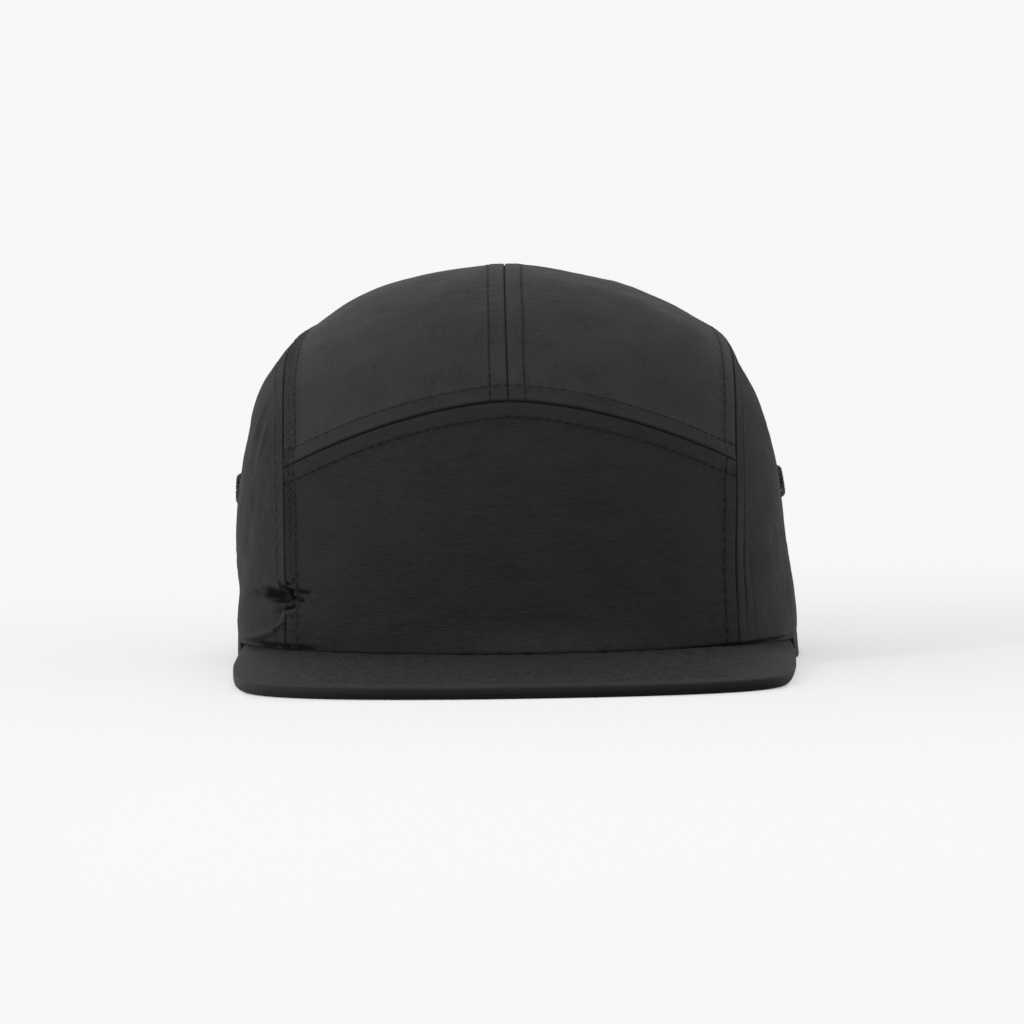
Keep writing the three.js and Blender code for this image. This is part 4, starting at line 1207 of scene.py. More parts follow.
class CrownPanels:
    """The five cloth panels of the crown."""

    def __init__(self, form: CrownForm, plan: SeamPlan) -> None:
        """Plans the panels.

        Args:
            form: The crown's form.
            plan: Where its seams run.
        """
        self.form = form
        self.plan = plan
        self.curves = {side: plan.curves(side) for side in Side}
        self.eyelet_disk = {side: form.at_azimuth(np.array(side.value * 90.0), np.array(52.7)) for side in Side}

    def azimuth(self, place: Array) -> float:
        """Degrees from the front of a disk place."""
        return float(np.degrees(np.arctan2(place[0], -place[1])))

    def line(self, curve: DiskCurve, style: EdgeStyle, seed: int) -> EdgeLine:
        """An edge line on the crown."""
        return EdgeLine(self.form, curve, style, seed)

    def side_line(self, side: Side, style: EdgeStyle, seed: int) -> EdgeLine:
        """The whole side seam as one line."""
        curves = self.curves[side]
        return self.line(curves["lower"].joined(curves["upper"]), style, seed)

    def front(self) -> PanelPlan:
        """The wide panel over the forehead."""
        left, right = self.curves[Side.LEFT], self.curves[Side.RIGHT]
        arch = left["arch"].reversed().joined(right["arch"])
        rim = self.plan.rim(self.azimuth(left["lower"].places[0]), self.azimuth(right["lower"].places[0]))
        edges = {"bottom": rim, "top": arch, "left": left["lower"], "right": right["lower"]}
        lines = {
            "bottom": self.line(rim, RIM_STYLE, 10),
            "top": self.line(arch, ARCH_STYLE, 13),
            "left": self.side_line(Side.LEFT, ROPED_STYLE, 16),
            "right": self.side_line(Side.RIGHT, SIDE_STYLE, 19),
        }
        return PanelPlan("front_panel", edges, lines, ("top", "left", "right"), 1, 0.9, 0.55, 0.7)

    def top(self, side: Side) -> PanelPlan:
        """One of the two panels of the dome."""
        curves = self.curves[side]
        arch = self.curves[Side.LEFT]["arch"].reversed().joined(self.curves[Side.RIGHT]["arch"])
        edges = {"bottom": curves["arch"], "top": curves["opening_top"], "left": curves["centre"], "right": curves["upper"]}
        style = ROPED_STYLE if side is Side.LEFT else SIDE_STYLE
        lines = {
            "bottom": self.line(arch, UPPER_ARCH_STYLE, 22),
            "top": self.line(curves["opening_top"], OPENING_STYLE, 25),
            "left": self.line(curves["centre"], CENTRE_STYLE, 28 + side.value),
            "right": self.side_line(side, style, 34),
        }
        cell = 0.6 if side is Side.LEFT else 0.95
        return PanelPlan(f"top_panel_{side.word}", edges, lines, ("bottom", "left", "right"), 2 + side.value, 1.0, cell)

    def wrap(self, side: Side) -> PanelPlan:
        """One of the two side panels."""
        curves = self.curves[side]
        rim = self.plan.rim(self.azimuth(curves["lower"].places[0]), self.azimuth(curves["opening_side"].places[-1]))
        edges = {"bottom": rim, "top": curves["upper"], "left": curves["lower"], "right": curves["opening_side"].reversed()}
        lines = {
            "bottom": self.line(rim, RIM_STYLE, 37),
            "top": self.side_line(side, SIDE_STYLE, 40),
            "right": self.line(curves["opening_side"], OPENING_STYLE, 43),
        }
        crowding = 1.2 if side is Side.LEFT else 0.0
        return PanelPlan(f"side_panel_{side.word}", edges, lines, ("top", "left"), 6 + side.value, 1.0, 1.0, crowding)

    @staticmethod
    def shares(lengths: Array, start: bool, end: bool, typical: float, cell: float, crowding: float = 0.0) -> Array:
        """Grid shares along lines of several lengths, closer together near the seams.

        Args:
            lengths: The lines' lengths.
            start: True where the lines start on a seam.
            end: True where they end on one.
            typical: The length that sets how many cells there are.
            cell: The size of a cell away from the seams.
            crowding: How many more cells there are near the start, where the pinch is.

        Returns:
            Shares from 0 to 1, one row for each line.
        """
        first = np.array(SEAM_STATIONS if start else HEM_STATIONS)
        last = np.array(SEAM_STATIONS if end else HEM_STATIONS)[::-1]
        fine = np.linspace(0.0, 1.0, 400)
        density = 1.0 + crowding * ease(fine * typical, 26.0, 18.0)
        filled = np.concatenate([[0.0], np.cumsum((density[1:] + density[:-1]) / 2)]) / (len(fine) - 1)
        cells = max(4, int(filled[-1] * (typical - first[-1] - last[0]) / cell))
        between = np.interp(np.linspace(0.0, filled[-1], cells + 1)[1:-1], filled, fine)
        squeeze = np.minimum(1.0, 0.45 * lengths / 7.2)[:, None]
        low = first[None, :] * squeeze / lengths[:, None]
        high = 1.0 - last[None, :] * squeeze / lengths[:, None]
        middle = low[:, -1:] + (high[:, :1] - low[:, -1:]) * between[None, :]
        return np.concatenate([low, middle, high], axis=1)

    def disk_grid(self, plan: PanelPlan) -> tuple[Array, Array]:
        """The panel's grid of disk places, and the cloth's own places in millimetres."""
        edges = plan.edges
        corners = {(u, v): edges["left" if u == 0 else "right"].at(np.array(float(v))) for u in (0, 1) for v in (0, 1)}

        def place(u: Array, v: Array) -> Array:
            """A patch between the four edges."""
            along = (1 - v)[..., None] * edges["bottom"].at(u) + v[..., None] * edges["top"].at(u)
            across = (1 - u)[..., None] * edges["left"].at(v) + u[..., None] * edges["right"].at(v)
            blend = sum(
                ((u if a else 1 - u) * (v if b else 1 - v))[..., None] * corners[(a, b)]
                for a in (0, 1) for b in (0, 1)
            )
            return along + across - blend

        def lengths(fixed: Array, along_u: bool) -> Array:
            """The lengths of grid lines at the given shares."""
            run = np.linspace(0.0, 1.0, 49)
            u, v = np.meshgrid(run, fixed) if along_u else np.meshgrid(fixed, run, indexing="ij")
            points = self.form.point(place(u, v))
            return np.linalg.norm(np.diff(points, axis=1), axis=-1).sum(axis=1)

        seam = {word: word in plan.seams for word in ("bottom", "top", "left", "right")}
        even = np.linspace(0.0, 1.0, 41)
        typical_up, typical_across = float(lengths(even, False).max()), float(lengths(even, True).max())
        upright = (seam["bottom"], seam["top"], typical_up, plan.up_cell, plan.crowding)
        rows = self.shares(np.array([lengths(np.array([0.5]), False)[0]]), *upright)[0]
        across = lengths(rows, True)
        u = self.shares(across, seam["left"], seam["right"], typical_across, plan.across_cell)
        middle_up = lengths(u[len(rows) // 2], False)
        v = self.shares(middle_up, *upright).T
        cloth = np.stack([(u - 0.5) * across[:, None], v * middle_up[None, :]], axis=-1)
        return place(u, v), cloth

    def softness(self, points: Array, seed: int, flat: bool) -> Array:
        """Soft waves and fine crumples of the loose cloth.

        Args:
            points: Places in rows of three.
            seed: Picks the pattern.
            flat: True for the top panels, whose crumples have no one direction.

        Returns:
            The cloth's rise and fall in millimetres.
        """
        bend_size, small_size = ((7.0, 12.0, 6.0), (4.2, 8.0, 4.0)) if flat else ((7.0, 7.0, 2.6), (4.2, 3.6, 1.6))
        waves = 0.6 * smooth_noise(points, (34.0, 34.0, 24.0), seed)
        waves += 0.24 * smooth_noise(points, (13.0, 15.0, 8.0), seed + 20)
        bends = np.abs(smooth_noise(points, bend_size, seed + 40))
        small = np.abs(smooth_noise(points, small_size, seed + 60))
        patches = ease(smooth_noise(points, (17.0, 24.0, 15.0), seed + 80), -0.25, 0.4)
        return waves - (0.2 * bends + 0.15 * small) * (0.35 + 0.8 * patches)

    def build(self, plan: PanelPlan) -> Mesh:
        """Makes a panel's mesh."""
        disk, cloth = self.disk_grid(plan)
        shape = disk.shape[:2]
        flat = disk.reshape(-1, 2)
        smooth = self.form.point(flat)
        normal = self.form.normal(flat)
        lines = list(plan.lines.values())
        relief, tape, ridge, hollow = edge_relief(lines, smooth)
        near = np.min([line.distances(smooth)[0] for line in lines], axis=0)
        dent = self.form.dent_depth(smooth)
        loose = self.softness(smooth, plan.folds_seed, plan.name.startswith("top")) * ease(near, 0.0, 9.0)
        base = smooth - normal * (dent - 0.6 * loose)[:, None]
        outer = base + normal * (relief + 0.4 * loose)[:, None]
        thickness = np.maximum(self.form.cloth + tape - np.maximum(dent - 2.3, 0.0), 0.35)
        inner = base - normal * thickness[:, None]
        outer, inner = outer.reshape(*shape, 3), inner.reshape(*shape, 3)
        if "bottom" not in plan.seams:
            outer[0, :, 2] = inner[0, :, 2] = smooth.reshape(*shape, 3)[0, :, 2]
        kept = np.ones((shape[0] - 1, shape[1] - 1), dtype=bool)
        if plan.name.startswith("side"):
            side = Side.LEFT if plan.name.endswith("left") else Side.RIGHT
            hole = self.form.point(self.eyelet_disk[side])
            centres = (outer[:-1, :-1] + outer[1:, 1:]) / 2
            kept = np.linalg.norm(centres - hole, axis=-1) > 2.7
        points, quads = shell(outer, inner, kept)
        places = np.concatenate([cloth.reshape(-1, 2)] * 2)
        # Painted highlight on the puff above the peak, where the cloth turns up towards the light.
        ridge = np.maximum(ridge, 2.0 * np.exp(-self.form.dent_share(PUFF, smooth)) * (smooth[:, 1] < 0))
        # Painted highlight on the ridges among the folds.
        ridge = np.maximum(ridge, 1.3 * ease(self.form.ridge_height(smooth), 0.45, 1.0))
        # Painted shade inside the pinch beside the left seam, broken up by noise.
        broken = 0.6 * smooth_noise(smooth, (4.0, 6.0, 0.9), 91)
        hollow = np.maximum(hollow, ease(self.form.pinch_depth(smooth) * (1.0 + broken), 0.35, 1.3))
        # The ridge mask carries the painted highlight and the ditch mask the painted shade, on the outer face only.
        masks = {"ridge": np.concatenate([ridge, 0 * ridge]), "ditch": np.concatenate([hollow, 0 * hollow])}
        return self.tidy(Mesh(points, [], places, masks), quads)

    @staticmethod
    def tidy(mesh: Mesh, quads: Array) -> Mesh:
        """Drops the points that no face uses."""
        used = np.unique(quads)
        fresh = np.full(len(mesh.points), -1)
        fresh[used] = np.arange(len(used))
        masks = {word: values[used] for word, values in mesh.masks.items()}
        faces = [tuple(quad) for quad in fresh[quads].tolist()]
        return Mesh(mesh.points[used], faces, mesh.cloth_places[used], masks)

    def strap_rows(self, side: Side, tree: BVHTree, stitching: Stitching) -> None:
        """Sews the upright rows that hold the strap's end behind a side panel.

        Args:
            side: Which side of the cap.
            tree: The side panel's search tree.
            stitching: Takes the stitches.
        """
        for past_opening in STRAP_ROWS:
            z = np.linspace(STRAP_LIFT + 1.5, STRAP_LIFT + STRAP_WIDTH - 1.0, 40)
            x = side.value * (self.plan.opening_half_width + past_opening) + self.plan.shift
            disk = self.form.at_view(np.full_like(z, x), z, 1)
            normal = self.form.normal(disk)
            starts = self.form.point(disk) + normal * 6.0
            hits = [tree.ray_cast(Vector(s), Vector(-n), 12.0)[:2] for s, n in zip(starts, normal)]
            hits = [hit for hit in hits if hit[0] is not None]
            stitching.follow(np.array([place for place, _ in hits]), np.array([facing for _, facing in hits]))

    def make(self, shop: Workshop, cloths: dict[str, bpy.types.Material],
             threads: dict[str, bpy.types.Material]) -> None:
        """Adds the panels and their stitches to the scene.

        Args:
            shop: Makes the pieces.
            cloths: The finish of each kind of panel, by the first word of its name.
            threads: The finish of its stitches.
        """
        plans = [self.front()]
        for side in Side:
            plans += [self.top(side), self.wrap(side)]
        for plan in plans:
            mesh = self.build(plan)
            kind = plan.name.split("_")[0]
            shop.piece(plan.name + "_cloth", mesh, cloths[kind], (plan.name,), "panel_cloth", crease=50.0)
            stitching = Stitching()
            tree = mesh.tree()
            for word, line in plan.lines.items():
                if line.style.stitch_offset:
                    others = [other for key, other in plan.lines.items() if key != word]
                    stitching.along_edge(line, tree, others)
            if plan.name.startswith("side"):
                self.strap_rows(Side.LEFT if plan.name.endswith("left") else Side.RIGHT, tree, stitching)
            shop.piece(plan.name + "_stitches", stitching.mesh(), threads[kind], (), "eyelet_thread", crease=60.0)


# Peak


@dataclass(frozen=True)
class Peak:
    """The flat peak: a board between two cloths, sewn through in rows."""

    form: CrownForm
    plan: SeamPlan
    length: float = 69.0
    corner_reach: float = 1.3
    end_round: float = 0.6
    end_length: float = 2.2
    flank_sink: float = 0.17
    taper: float = 0.135
    bulge: float = 0.01
    lean: float = -0.8
    squareness: float = 9.5
    right_squareness: float = 12.5
    upper_round: float = 0.9
    lower_round: float = 1.2
    first_row: float = 10.0
    row_pitch: float = 4.9
    rows: int = 10
    stations: int = 421
    top_columns: int = 80
    under_columns: int = 26

    def outline(self, count: int) -> Array:
        """The outer edge seen from above, evenly spaced, from the left end to the right."""
        share = np.linspace(-1.0, 1.0, 6001)
        angle = np.radians(90.0 * share)
        corner = self.form.rim_point(np.array([self.plan.peak_corner]), np.array([0.0]), np.array([0.0]))[0]
        forward = np.cos(angle) ** (2.0 / np.where(share < 0, self.squareness, self.right_squareness))
        shrink = 1.0 - self.taper * forward + self.bulge * np.sin(np.pi * forward)
        x = (corner[0] + self.corner_reach) * shrink * np.sin(angle) + self.lean
        y = corner[1] - (self.length + self.form.front + corner[1]) * forward
        x -= np.sign(share) * self.end_round * (1.0 - ease(corner[1] - y, 0.0, self.end_length)) ** 2
        lengths = np.concatenate([[0.0], np.cumsum(np.hypot(np.diff(x), np.diff(y)))])
        wanted = np.linspace(0.0, lengths[-1], count)
        return np.stack([np.interp(wanted, lengths, x), np.interp(wanted, lengths, y)], axis=-1)

    def edge_distance(self, places: Array) -> tuple[Array, Array]:
        """How far places lie in from the outer edge, and where along it."""
        edge = self.outline(1201)
        flat = places[..., :2].reshape(-1, 2)
        squares = np.einsum("ij,ij->i", edge, edge)
        nearest = np.concatenate([np.argmin(squares - 2 * flat[k : k + 4000] @ edge.T, axis=1)
                                  for k in range(0, len(flat), 4000)])
        tangent = unit(np.gradient(edge, axis=0))[nearest]
        offset = flat - edge[nearest]
        along = np.einsum("ij,ij->i", offset, tangent)
        off = np.abs(offset[:, 0] * tangent[:, 1] - offset[:, 1] * tangent[:, 0])
        step = float(np.linalg.norm(edge[1] - edge[0]))
        shape = places.shape[:-1]
        return off.reshape(shape), (nearest * step + along).reshape(shape)

    def row_places(self, off: Array, along: Array) -> tuple[Array, Array, Array]:
        """Where places lie among the rows of stitches.

        Args:
            off: Distances in from the outer edge.
            along: Lengths along it.

        Returns:
            The number of rows in from the first, the distance to the nearest row, and how near a needle hole is.
        """
        phase = (off - self.first_row) / self.row_pitch
        row = np.clip(np.round(phase), 0, self.rows - 1)
        gap = off - (self.first_row + row * self.row_pitch)
        return phase, gap, 0.55 + 0.45 * np.cos(2 * np.pi * (along / Stitching.pitch + 0.37 * row))

    def dashes(self, places: Array, off: Array, along: Array) -> Array:
        """Painted shade in the gaps between the stitches of each row, as a mask."""
        _, gap, holes = self.row_places(off, along)
        flat = np.stack([along, 2.0 * off, 0.0 * off], axis=-1).reshape(-1, 3)
        patchy = 0.7 + 0.7 * smooth_noise(flat, (5.0, 9.0, 5.0), 77).reshape(off.shape)
        flank = ease(np.abs(places[..., 0]), 70.0, 56.0)
        return flank * np.clip(patchy, 0.0, 1.0) * ease(holes, 0.35, 0.8) * np.exp(-((gap / 0.75) ** 2))

    def relief(self, places: Array, root: Array) -> Array:
        """The cloth's rise and fall over the board: rows of stitches, pulls at the crown and soft waves."""
        off, along = self.edge_distance(places)
        relief = np.zeros_like(off)
        phase, gap, holes = self.row_places(off, along)
        flank = ease(np.abs(places[..., 0]), 72.0, 52.0)
        relief -= (0.01 + 0.17 * flank) * holes * np.exp(-((gap / 0.6) ** 2))
        within = ease(off, self.first_row - 3.0, self.first_row) * ease(root, 1.0, 5.0)
        flat = np.concatenate([places[..., :2], 0 * places[..., :1]], axis=-1).reshape(-1, 3)
        lumps = smooth_noise(flat, (2.6, 2.2, 5.0), 71).reshape(off.shape)
        relief += within * (0.3 * lumps * (0.4 + 0.6 * flank) + 0.05 * np.sin(np.pi * phase) ** 2)
        waves = smooth_noise(flat, (26.0, 20.0, 9.0), 73).reshape(off.shape)
        pulls = np.sin(2 * np.pi * along / 6.2 + 3.0 * smooth_noise(flat, (15.0, 15.0, 9.0), 75).reshape(off.shape))
        relief += 0.12 * waves + 0.12 * pulls * np.exp(-np.maximum(root - 1.0, 0.0) / 2.2) * ease(root, 0.3, 1.2)
        return relief * ease(off, 0.2, 2.5)

    def build(self) -> Mesh:
        """Makes the peak's mesh."""
        share = np.linspace(-1.0, 1.0, self.stations)
        azimuth = share * self.plan.peak_corner
        lift, thick = self.plan.lift_at(azimuth), self.plan.thickness_at(azimuth)
        root = self.form.rim_point(azimuth, lift, np.full_like(azimuth, self.form.cloth))
        edge = self.outline(self.stations)
        span = edge - root[:, :2]
        length = np.linalg.norm(span, axis=-1)
        flat = 1.0 - self.upper_round / length
        columns: list[Array] = []
        along_top = np.linspace(0.0, 1.0, self.top_columns)[None, :] * flat[:, None]
        columns.append(self.sheet(root, span, length, lift, thick, along_top, True))
        arc = np.linspace(0.0, np.pi / 2, 6)[1:]
        columns.append(self.bend(root, span, length, lift, thick, arc, self.upper_round, True))
        arc = np.linspace(np.pi / 2, 0.0, 5)[:-1]
        columns.append(self.bend(root, span, length, lift, thick, arc, self.lower_round, False))
        along_under = np.linspace(1.0, 0.0, self.under_columns)[None, :] * (1.0 - self.lower_round / length)[:, None]
        columns.append(self.sheet(root, span, length, lift, thick, along_under, False))
        rings = np.concatenate(columns, axis=1)
        points, faces = loft(rings)
        off, along = self.edge_distance(rings)
        past = np.arange(rings.shape[1])[None, :] - self.top_columns
        places = np.stack([along, off + 20.0 * (past > 9)], axis=-1)
        # Painted highlight along the top of the rounded outer edge.
        ridge = 0.8 * ease(off, 2.2, 0.6) * (past < 1)
        from_left = ease(rings[..., 0], -76.0, -30.0)
        # Painted shade on the outer edge band and, stronger, on the lower bend, darker towards the right, away from the
        # light on the left.
        band = 0.5 * ((past > 2) & (past < 10)) * from_left
        band = np.maximum(band, (past > 4) * (0.4 + 0.6 * from_left))
        # Painted shade in the gaps between the stitches of the rows.
        band = np.maximum(band, (past < 1) * self.dashes(rings, off, along))
        # Painted shade on the top next to the crown, fading within 15 mm and weaker at the far left.
        shade = 0.55 * ease(along_top * length[:, None], 15.0, 0.0) * from_left[:, : self.top_columns]
        band[:, : self.top_columns] = np.maximum(band[:, : self.top_columns], shade)
        masks = {"ridge": ridge.ravel(), "ditch": band.ravel()}
        return Mesh(points, faces, places.reshape(-1, 2), masks)

    def sheet(self, root: Array, span: Array, length: Array, lift: Array, thick: Array, along: Array,
              upper: bool) -> Array:
        """The points of the top or the underside at shares of the way from the crown to the edge."""
        places = root[:, None, :2] + span[:, None, :] * along[..., None]
        level = lift[:, None] * (1.0 - along)
        full = np.concatenate([places, level[..., None]], axis=-1)
        relief = self.relief(full, along * length[:, None])
        full[..., 2] += thick[:, None] + relief if upper else np.maximum(-0.7 * relief, 0.0)
        return full

    def bend(self, root: Array, span: Array, length: Array, lift: Array, thick: Array, arc: Array, radius: float,
             upper: bool) -> Array:
        """The points of the rounded edge."""
        share = 1.0 - (radius - radius * np.sin(arc))[None, :] / length[:, None]
        places = root[:, None, :2] + span[:, None, :] * share[..., None]
        level = lift[:, None] * (1.0 - share)
        rise = thick[:, None] - radius + radius * np.cos(arc) if upper else radius - radius * np.cos(arc) + 0 * level
        return np.concatenate([places, (level + rise)[..., None]], axis=-1)

    def sew(self, mesh: Mesh) -> Stitching:
        """Sews the rows through the peak."""
        tree = mesh.tree()
        stitching = Stitching(length=2.2, radius=0.2)
        edge = self.outline(1201)
        inward = unit(np.gradient(edge, axis=0))[:, ::-1] * np.array([-1.0, 1.0])
        for row in range(self.rows):
            offset = self.first_row + row * self.row_pitch
            for upper in (True, False):
                starts = edge + inward * offset
                off, _ = self.edge_distance(starts)
                height = 20.0 if upper else -12.0
                run: list[tuple[Vector, Vector]] = []
                for start, distance in zip(starts, off):
                    origin = Vector((*start, height))
                    place, facing, _, _ = tree.ray_cast(origin, Vector((0, 0, -1 if upper else 1)), 40.0)
                    clear = place is not None and distance > offset - 0.25 and self.clear_of_crown(start)
                    if clear:
                        run.append((place, facing))
                    elif len(run) > 6:
                        break
                if len(run) > 6:
                    places = np.array([place for place, _ in run])
                    sunk = self.flank_sink * ease(np.abs(places[:, 0]), 54.0, 64.0)
                    places[:, 2] -= sunk if upper else -sunk
                    stitching.follow(places, np.array([facing for _, facing in run]))
        return stitching

    def clear_of_crown(self, place: Array) -> bool:
        """True where a place on the peak is in front of the crown."""
        power = self.form.rim_squareness
        room = 2.5
        share = abs(place[0] / (self.form.half_width + room)) ** power
        return bool(share + abs(place[1] / (self.form.front + room)) ** power > 1.0 and place[1] < 0)

    def make(self, shop: Workshop, cloth: bpy.types.Material, thread: bpy.types.Material) -> None:
        """Adds the peak and its stitches to the scene."""
        mesh = self.build()
        shop.piece("peak_cloth", mesh, cloth, ("peak",), "peak_cloth", crease=50.0)
        shop.piece("peak_stitches", self.sew(mesh).mesh(), thread, (), "eyelet_thread", crease=60.0)


# Band, strap, clip and eyelets


@dataclass(frozen=True)
class RimPieces:
    """The pieces that follow the rim inside the crown: the sweatband, the strap and its clip."""

    form: CrownForm
    plan: SeamPlan
    depth: float = 1.7
    band_width: float = 30.0
    band_thickness: float = 1.2
    band_lift: float = 0.6
    band_slack: float = 2.2
    strap_width: float = STRAP_WIDTH
    strap_thickness: float = 1.3
    strap_lift: float = STRAP_LIFT
    overlap: float = 12.0
    clip_length: float = 24.0
    clip_wall: float = 1.8

    def end_azimuth(self, extra: float = 0.0) -> float:
        """Degrees from the front to the strap's ends."""
        x = self.plan.opening_half_width + self.overlap + extra
        place = self.form.at_view(np.array(x), np.array(0.0), 1)
        return float(np.degrees(np.arctan2(place[0], -place[1])))

    def band(self) -> Mesh:
        """The sweatband, hanging free above its sewn lower edge."""
        end = self.end_azimuth(self.plan.gap)
        azimuth = np.linspace(-end, end, 281)
        up = np.concatenate([[0.0, 0.012, 0.035], np.linspace(0.08, 0.92, 17), [0.965, 0.988, 1.0]])
        slack = np.interp(up, (0.0, 0.2, 0.45, 1.0), (0.0, 0.25, 0.95, 1.0))
        grid_azimuth, grid_up = np.meshgrid(azimuth, up)
        along = np.radians(grid_azimuth) * 88.0
        z = self.band_lift + grid_up * self.band_width
        wave = 0.22 * line_noise(along.ravel(), 17.0, 81).reshape(along.shape) * grid_up
        pushed = np.maximum(self.form.dent_depth(self.form.rim_point(grid_azimuth, z, 0.0 * z)) - 1.4, 0.0)
        depth = self.depth + self.band_slack * slack[:, None] + wave + pushed
        hem = 0.16 * np.exp(-(((grid_up - 0.93) / 0.018) ** 2)) + 0.2 * np.exp(-(((grid_up - 0.1) / 0.02) ** 2))
        edge = 0.35 * (ease(grid_up, 0.035, 0.0) + ease(grid_up, 0.965, 1.0))
        outer = self.form.rim_point(grid_azimuth, z, depth + edge)
        inner = self.form.rim_point(grid_azimuth, z, depth + self.band_thickness - hem - edge)
        points, quads = shell(outer, inner)
        places = np.stack([along, z], axis=-1).reshape(-1, 2)
        masks = {"ridge": np.zeros(len(points)), "ditch": np.zeros(len(points))}
        return Mesh(points, [tuple(q) for q in quads.tolist()], np.concatenate([places] * 2), masks)

    def band_stitches(self, mesh: Mesh) -> Stitching:
        """The stitches near both edges of the sweatband, on its inner face."""
        tree = mesh.tree()
        stitching = Stitching(radius=0.17)
        end = self.end_azimuth(self.plan.gap) - 1.5
        azimuth = np.linspace(-end, end, 700)
        for share in (0.1, 0.93):
            z = np.full_like(azimuth, self.band_lift + share * self.band_width)
            starts = self.form.rim_point(azimuth, z, np.full_like(azimuth, 14.0))
            outward = self.form.level_normal(self.form.at_azimuth(azimuth, z))
            hits = [tree.ray_cast(Vector(s), Vector(d), 30.0)[:2] for s, d in zip(starts, outward)]
            hits = [hit for hit in hits if hit[0] is not None]
            stitching.follow(np.array([place for place, _ in hits]), np.array([facing for _, facing in hits]))
        return stitching

    def strap(self) -> Mesh:
        """The webbing strap, with its ribs and selvedges."""
        start = self.end_azimuth()
        azimuth = np.linspace(start, 360.0 - start, 271)
        across = np.linspace(0.0, 1.0, 35)
        along = np.radians(azimuth - 180.0) * 94.0
        half = self.strap_thickness / 2

        def face(outward: float) -> Array:
            """One face of the webbing."""
            edge = np.clip(np.minimum(across, 1.0 - across) * self.strap_width / 0.65, 0.0, 1.0)
            body = half * np.sqrt(1.0 - (1.0 - edge) ** 2)
            columns = np.floor(across * self.strap_width / 1.25)
            rib = np.sin(2 * np.pi * along[:, None] / 1.55 + np.pi * columns[None, :])
            rib = 0.09 * rib * np.abs(np.sin(np.pi * across * self.strap_width / 1.25))[None, :] ** 0.5
            height = self.strap_lift + across * self.strap_width
            grid_azimuth, grid_z = np.meshgrid(azimuth, height, indexing="ij")
            depth = self.depth + half - outward * (body[None, :] - 0.1 + rib * (edge[None, :] > 0.99))
            return self.form.rim_point(grid_azimuth, grid_z, depth)

        rings = np.concatenate([face(1.0), face(-1.0)[:, ::-1][:, 1:-1]], axis=1)
        points, faces = loft(rings)
        places = np.concatenate([across, across[::-1][1:-1] + 1.5]) * self.strap_width
        cloth = np.stack(np.broadcast_arrays(along[:, None], places[None, :]), axis=-1).reshape(-1, 2)
        masks = {"ridge": np.zeros(len(points)), "ditch": np.zeros(len(points))}
        return Mesh(points, faces, cloth, masks)

    def clip(self) -> Mesh:
        """The fastened clip: one moulded sleeve with raised ends and a ribbed face."""
        low, high = self.depth - 0.3 - self.clip_wall, self.depth + self.strap_thickness + 0.3 + self.clip_wall
        bottom, top = self.strap_lift - 0.3 - self.clip_wall, self.strap_lift + self.strap_width + 0.3 + self.clip_wall
        spots = np.unique(np.concatenate([np.linspace(-1.0, 1.0, 81), [-0.985, 0.985]]))
        across = spots * self.clip_length / 2
        azimuth = 180.0 + np.degrees(across / self.form.back)
        angle = np.linspace(0.0, 2 * np.pi, 81)[:-1]
        power = 0.16
        loop_depth = np.sign(np.cos(angle)) * np.abs(np.cos(angle)) ** power
        loop_z = np.sign(np.sin(angle)) * np.abs(np.sin(angle)) ** power
        half_depth, half_z = (high - low) / 2, (top - bottom) / 2
        flange = 0.0 - 0.35 * ease(np.abs(across), self.clip_length / 2 - 1.9, self.clip_length / 2 - 2.6)
        rounding = -0.45 * ease(np.abs(spots), 0.97, 1.0)
        ribs = -0.28 * (np.cos(2 * np.pi * across / 2.1) > 0.2) * (np.abs(across) < 6.4)
        outer_face = ease(-loop_depth, 0.9, 0.99)[None, :] * ease(np.abs(loop_z), 0.82, 0.7)[None, :]
        grow = (flange + rounding)[:, None] + ribs[:, None] * outer_face
        depth = (low + high) / 2 + loop_depth[None, :] * (half_depth + grow)
        z = (bottom + top) / 2 + loop_z[None, :] * (half_z + (flange + rounding)[:, None])
        outer = self.placed(azimuth, depth, z)
        hole_depth = (low + high) / 2 + loop_depth[None, :] * (half_depth - self.clip_wall) + 0 * grow
        hole_z = (bottom + top) / 2 + loop_z[None, :] * (half_z - self.clip_wall) + 0 * grow
        inner = self.placed(azimuth, hole_depth, hole_z)
        ring = np.concatenate([outer, inner[::-1]], axis=0).transpose(1, 0, 2)
        points, faces = loft(ring, closed=True)
        # Painted highlight on the raised ends.
        ridge = np.concatenate([ease(np.abs(spots), 0.9, 0.98), np.zeros_like(spots)])
        masks = {"ridge": np.tile(ridge, len(angle)), "ditch": np.zeros(len(points))}
        return Mesh(points, faces, None, masks)

    def placed(self, azimuth: Array, depth: Array, z: Array) -> Array:
        """Places at a depth behind the crown's face, also below the floor's level."""
        grid = np.broadcast_to(azimuth[:, None], depth.shape)
        places = self.form.rim_point(grid, np.maximum(z, 0.0), depth)
        places[..., 2] = z
        return places


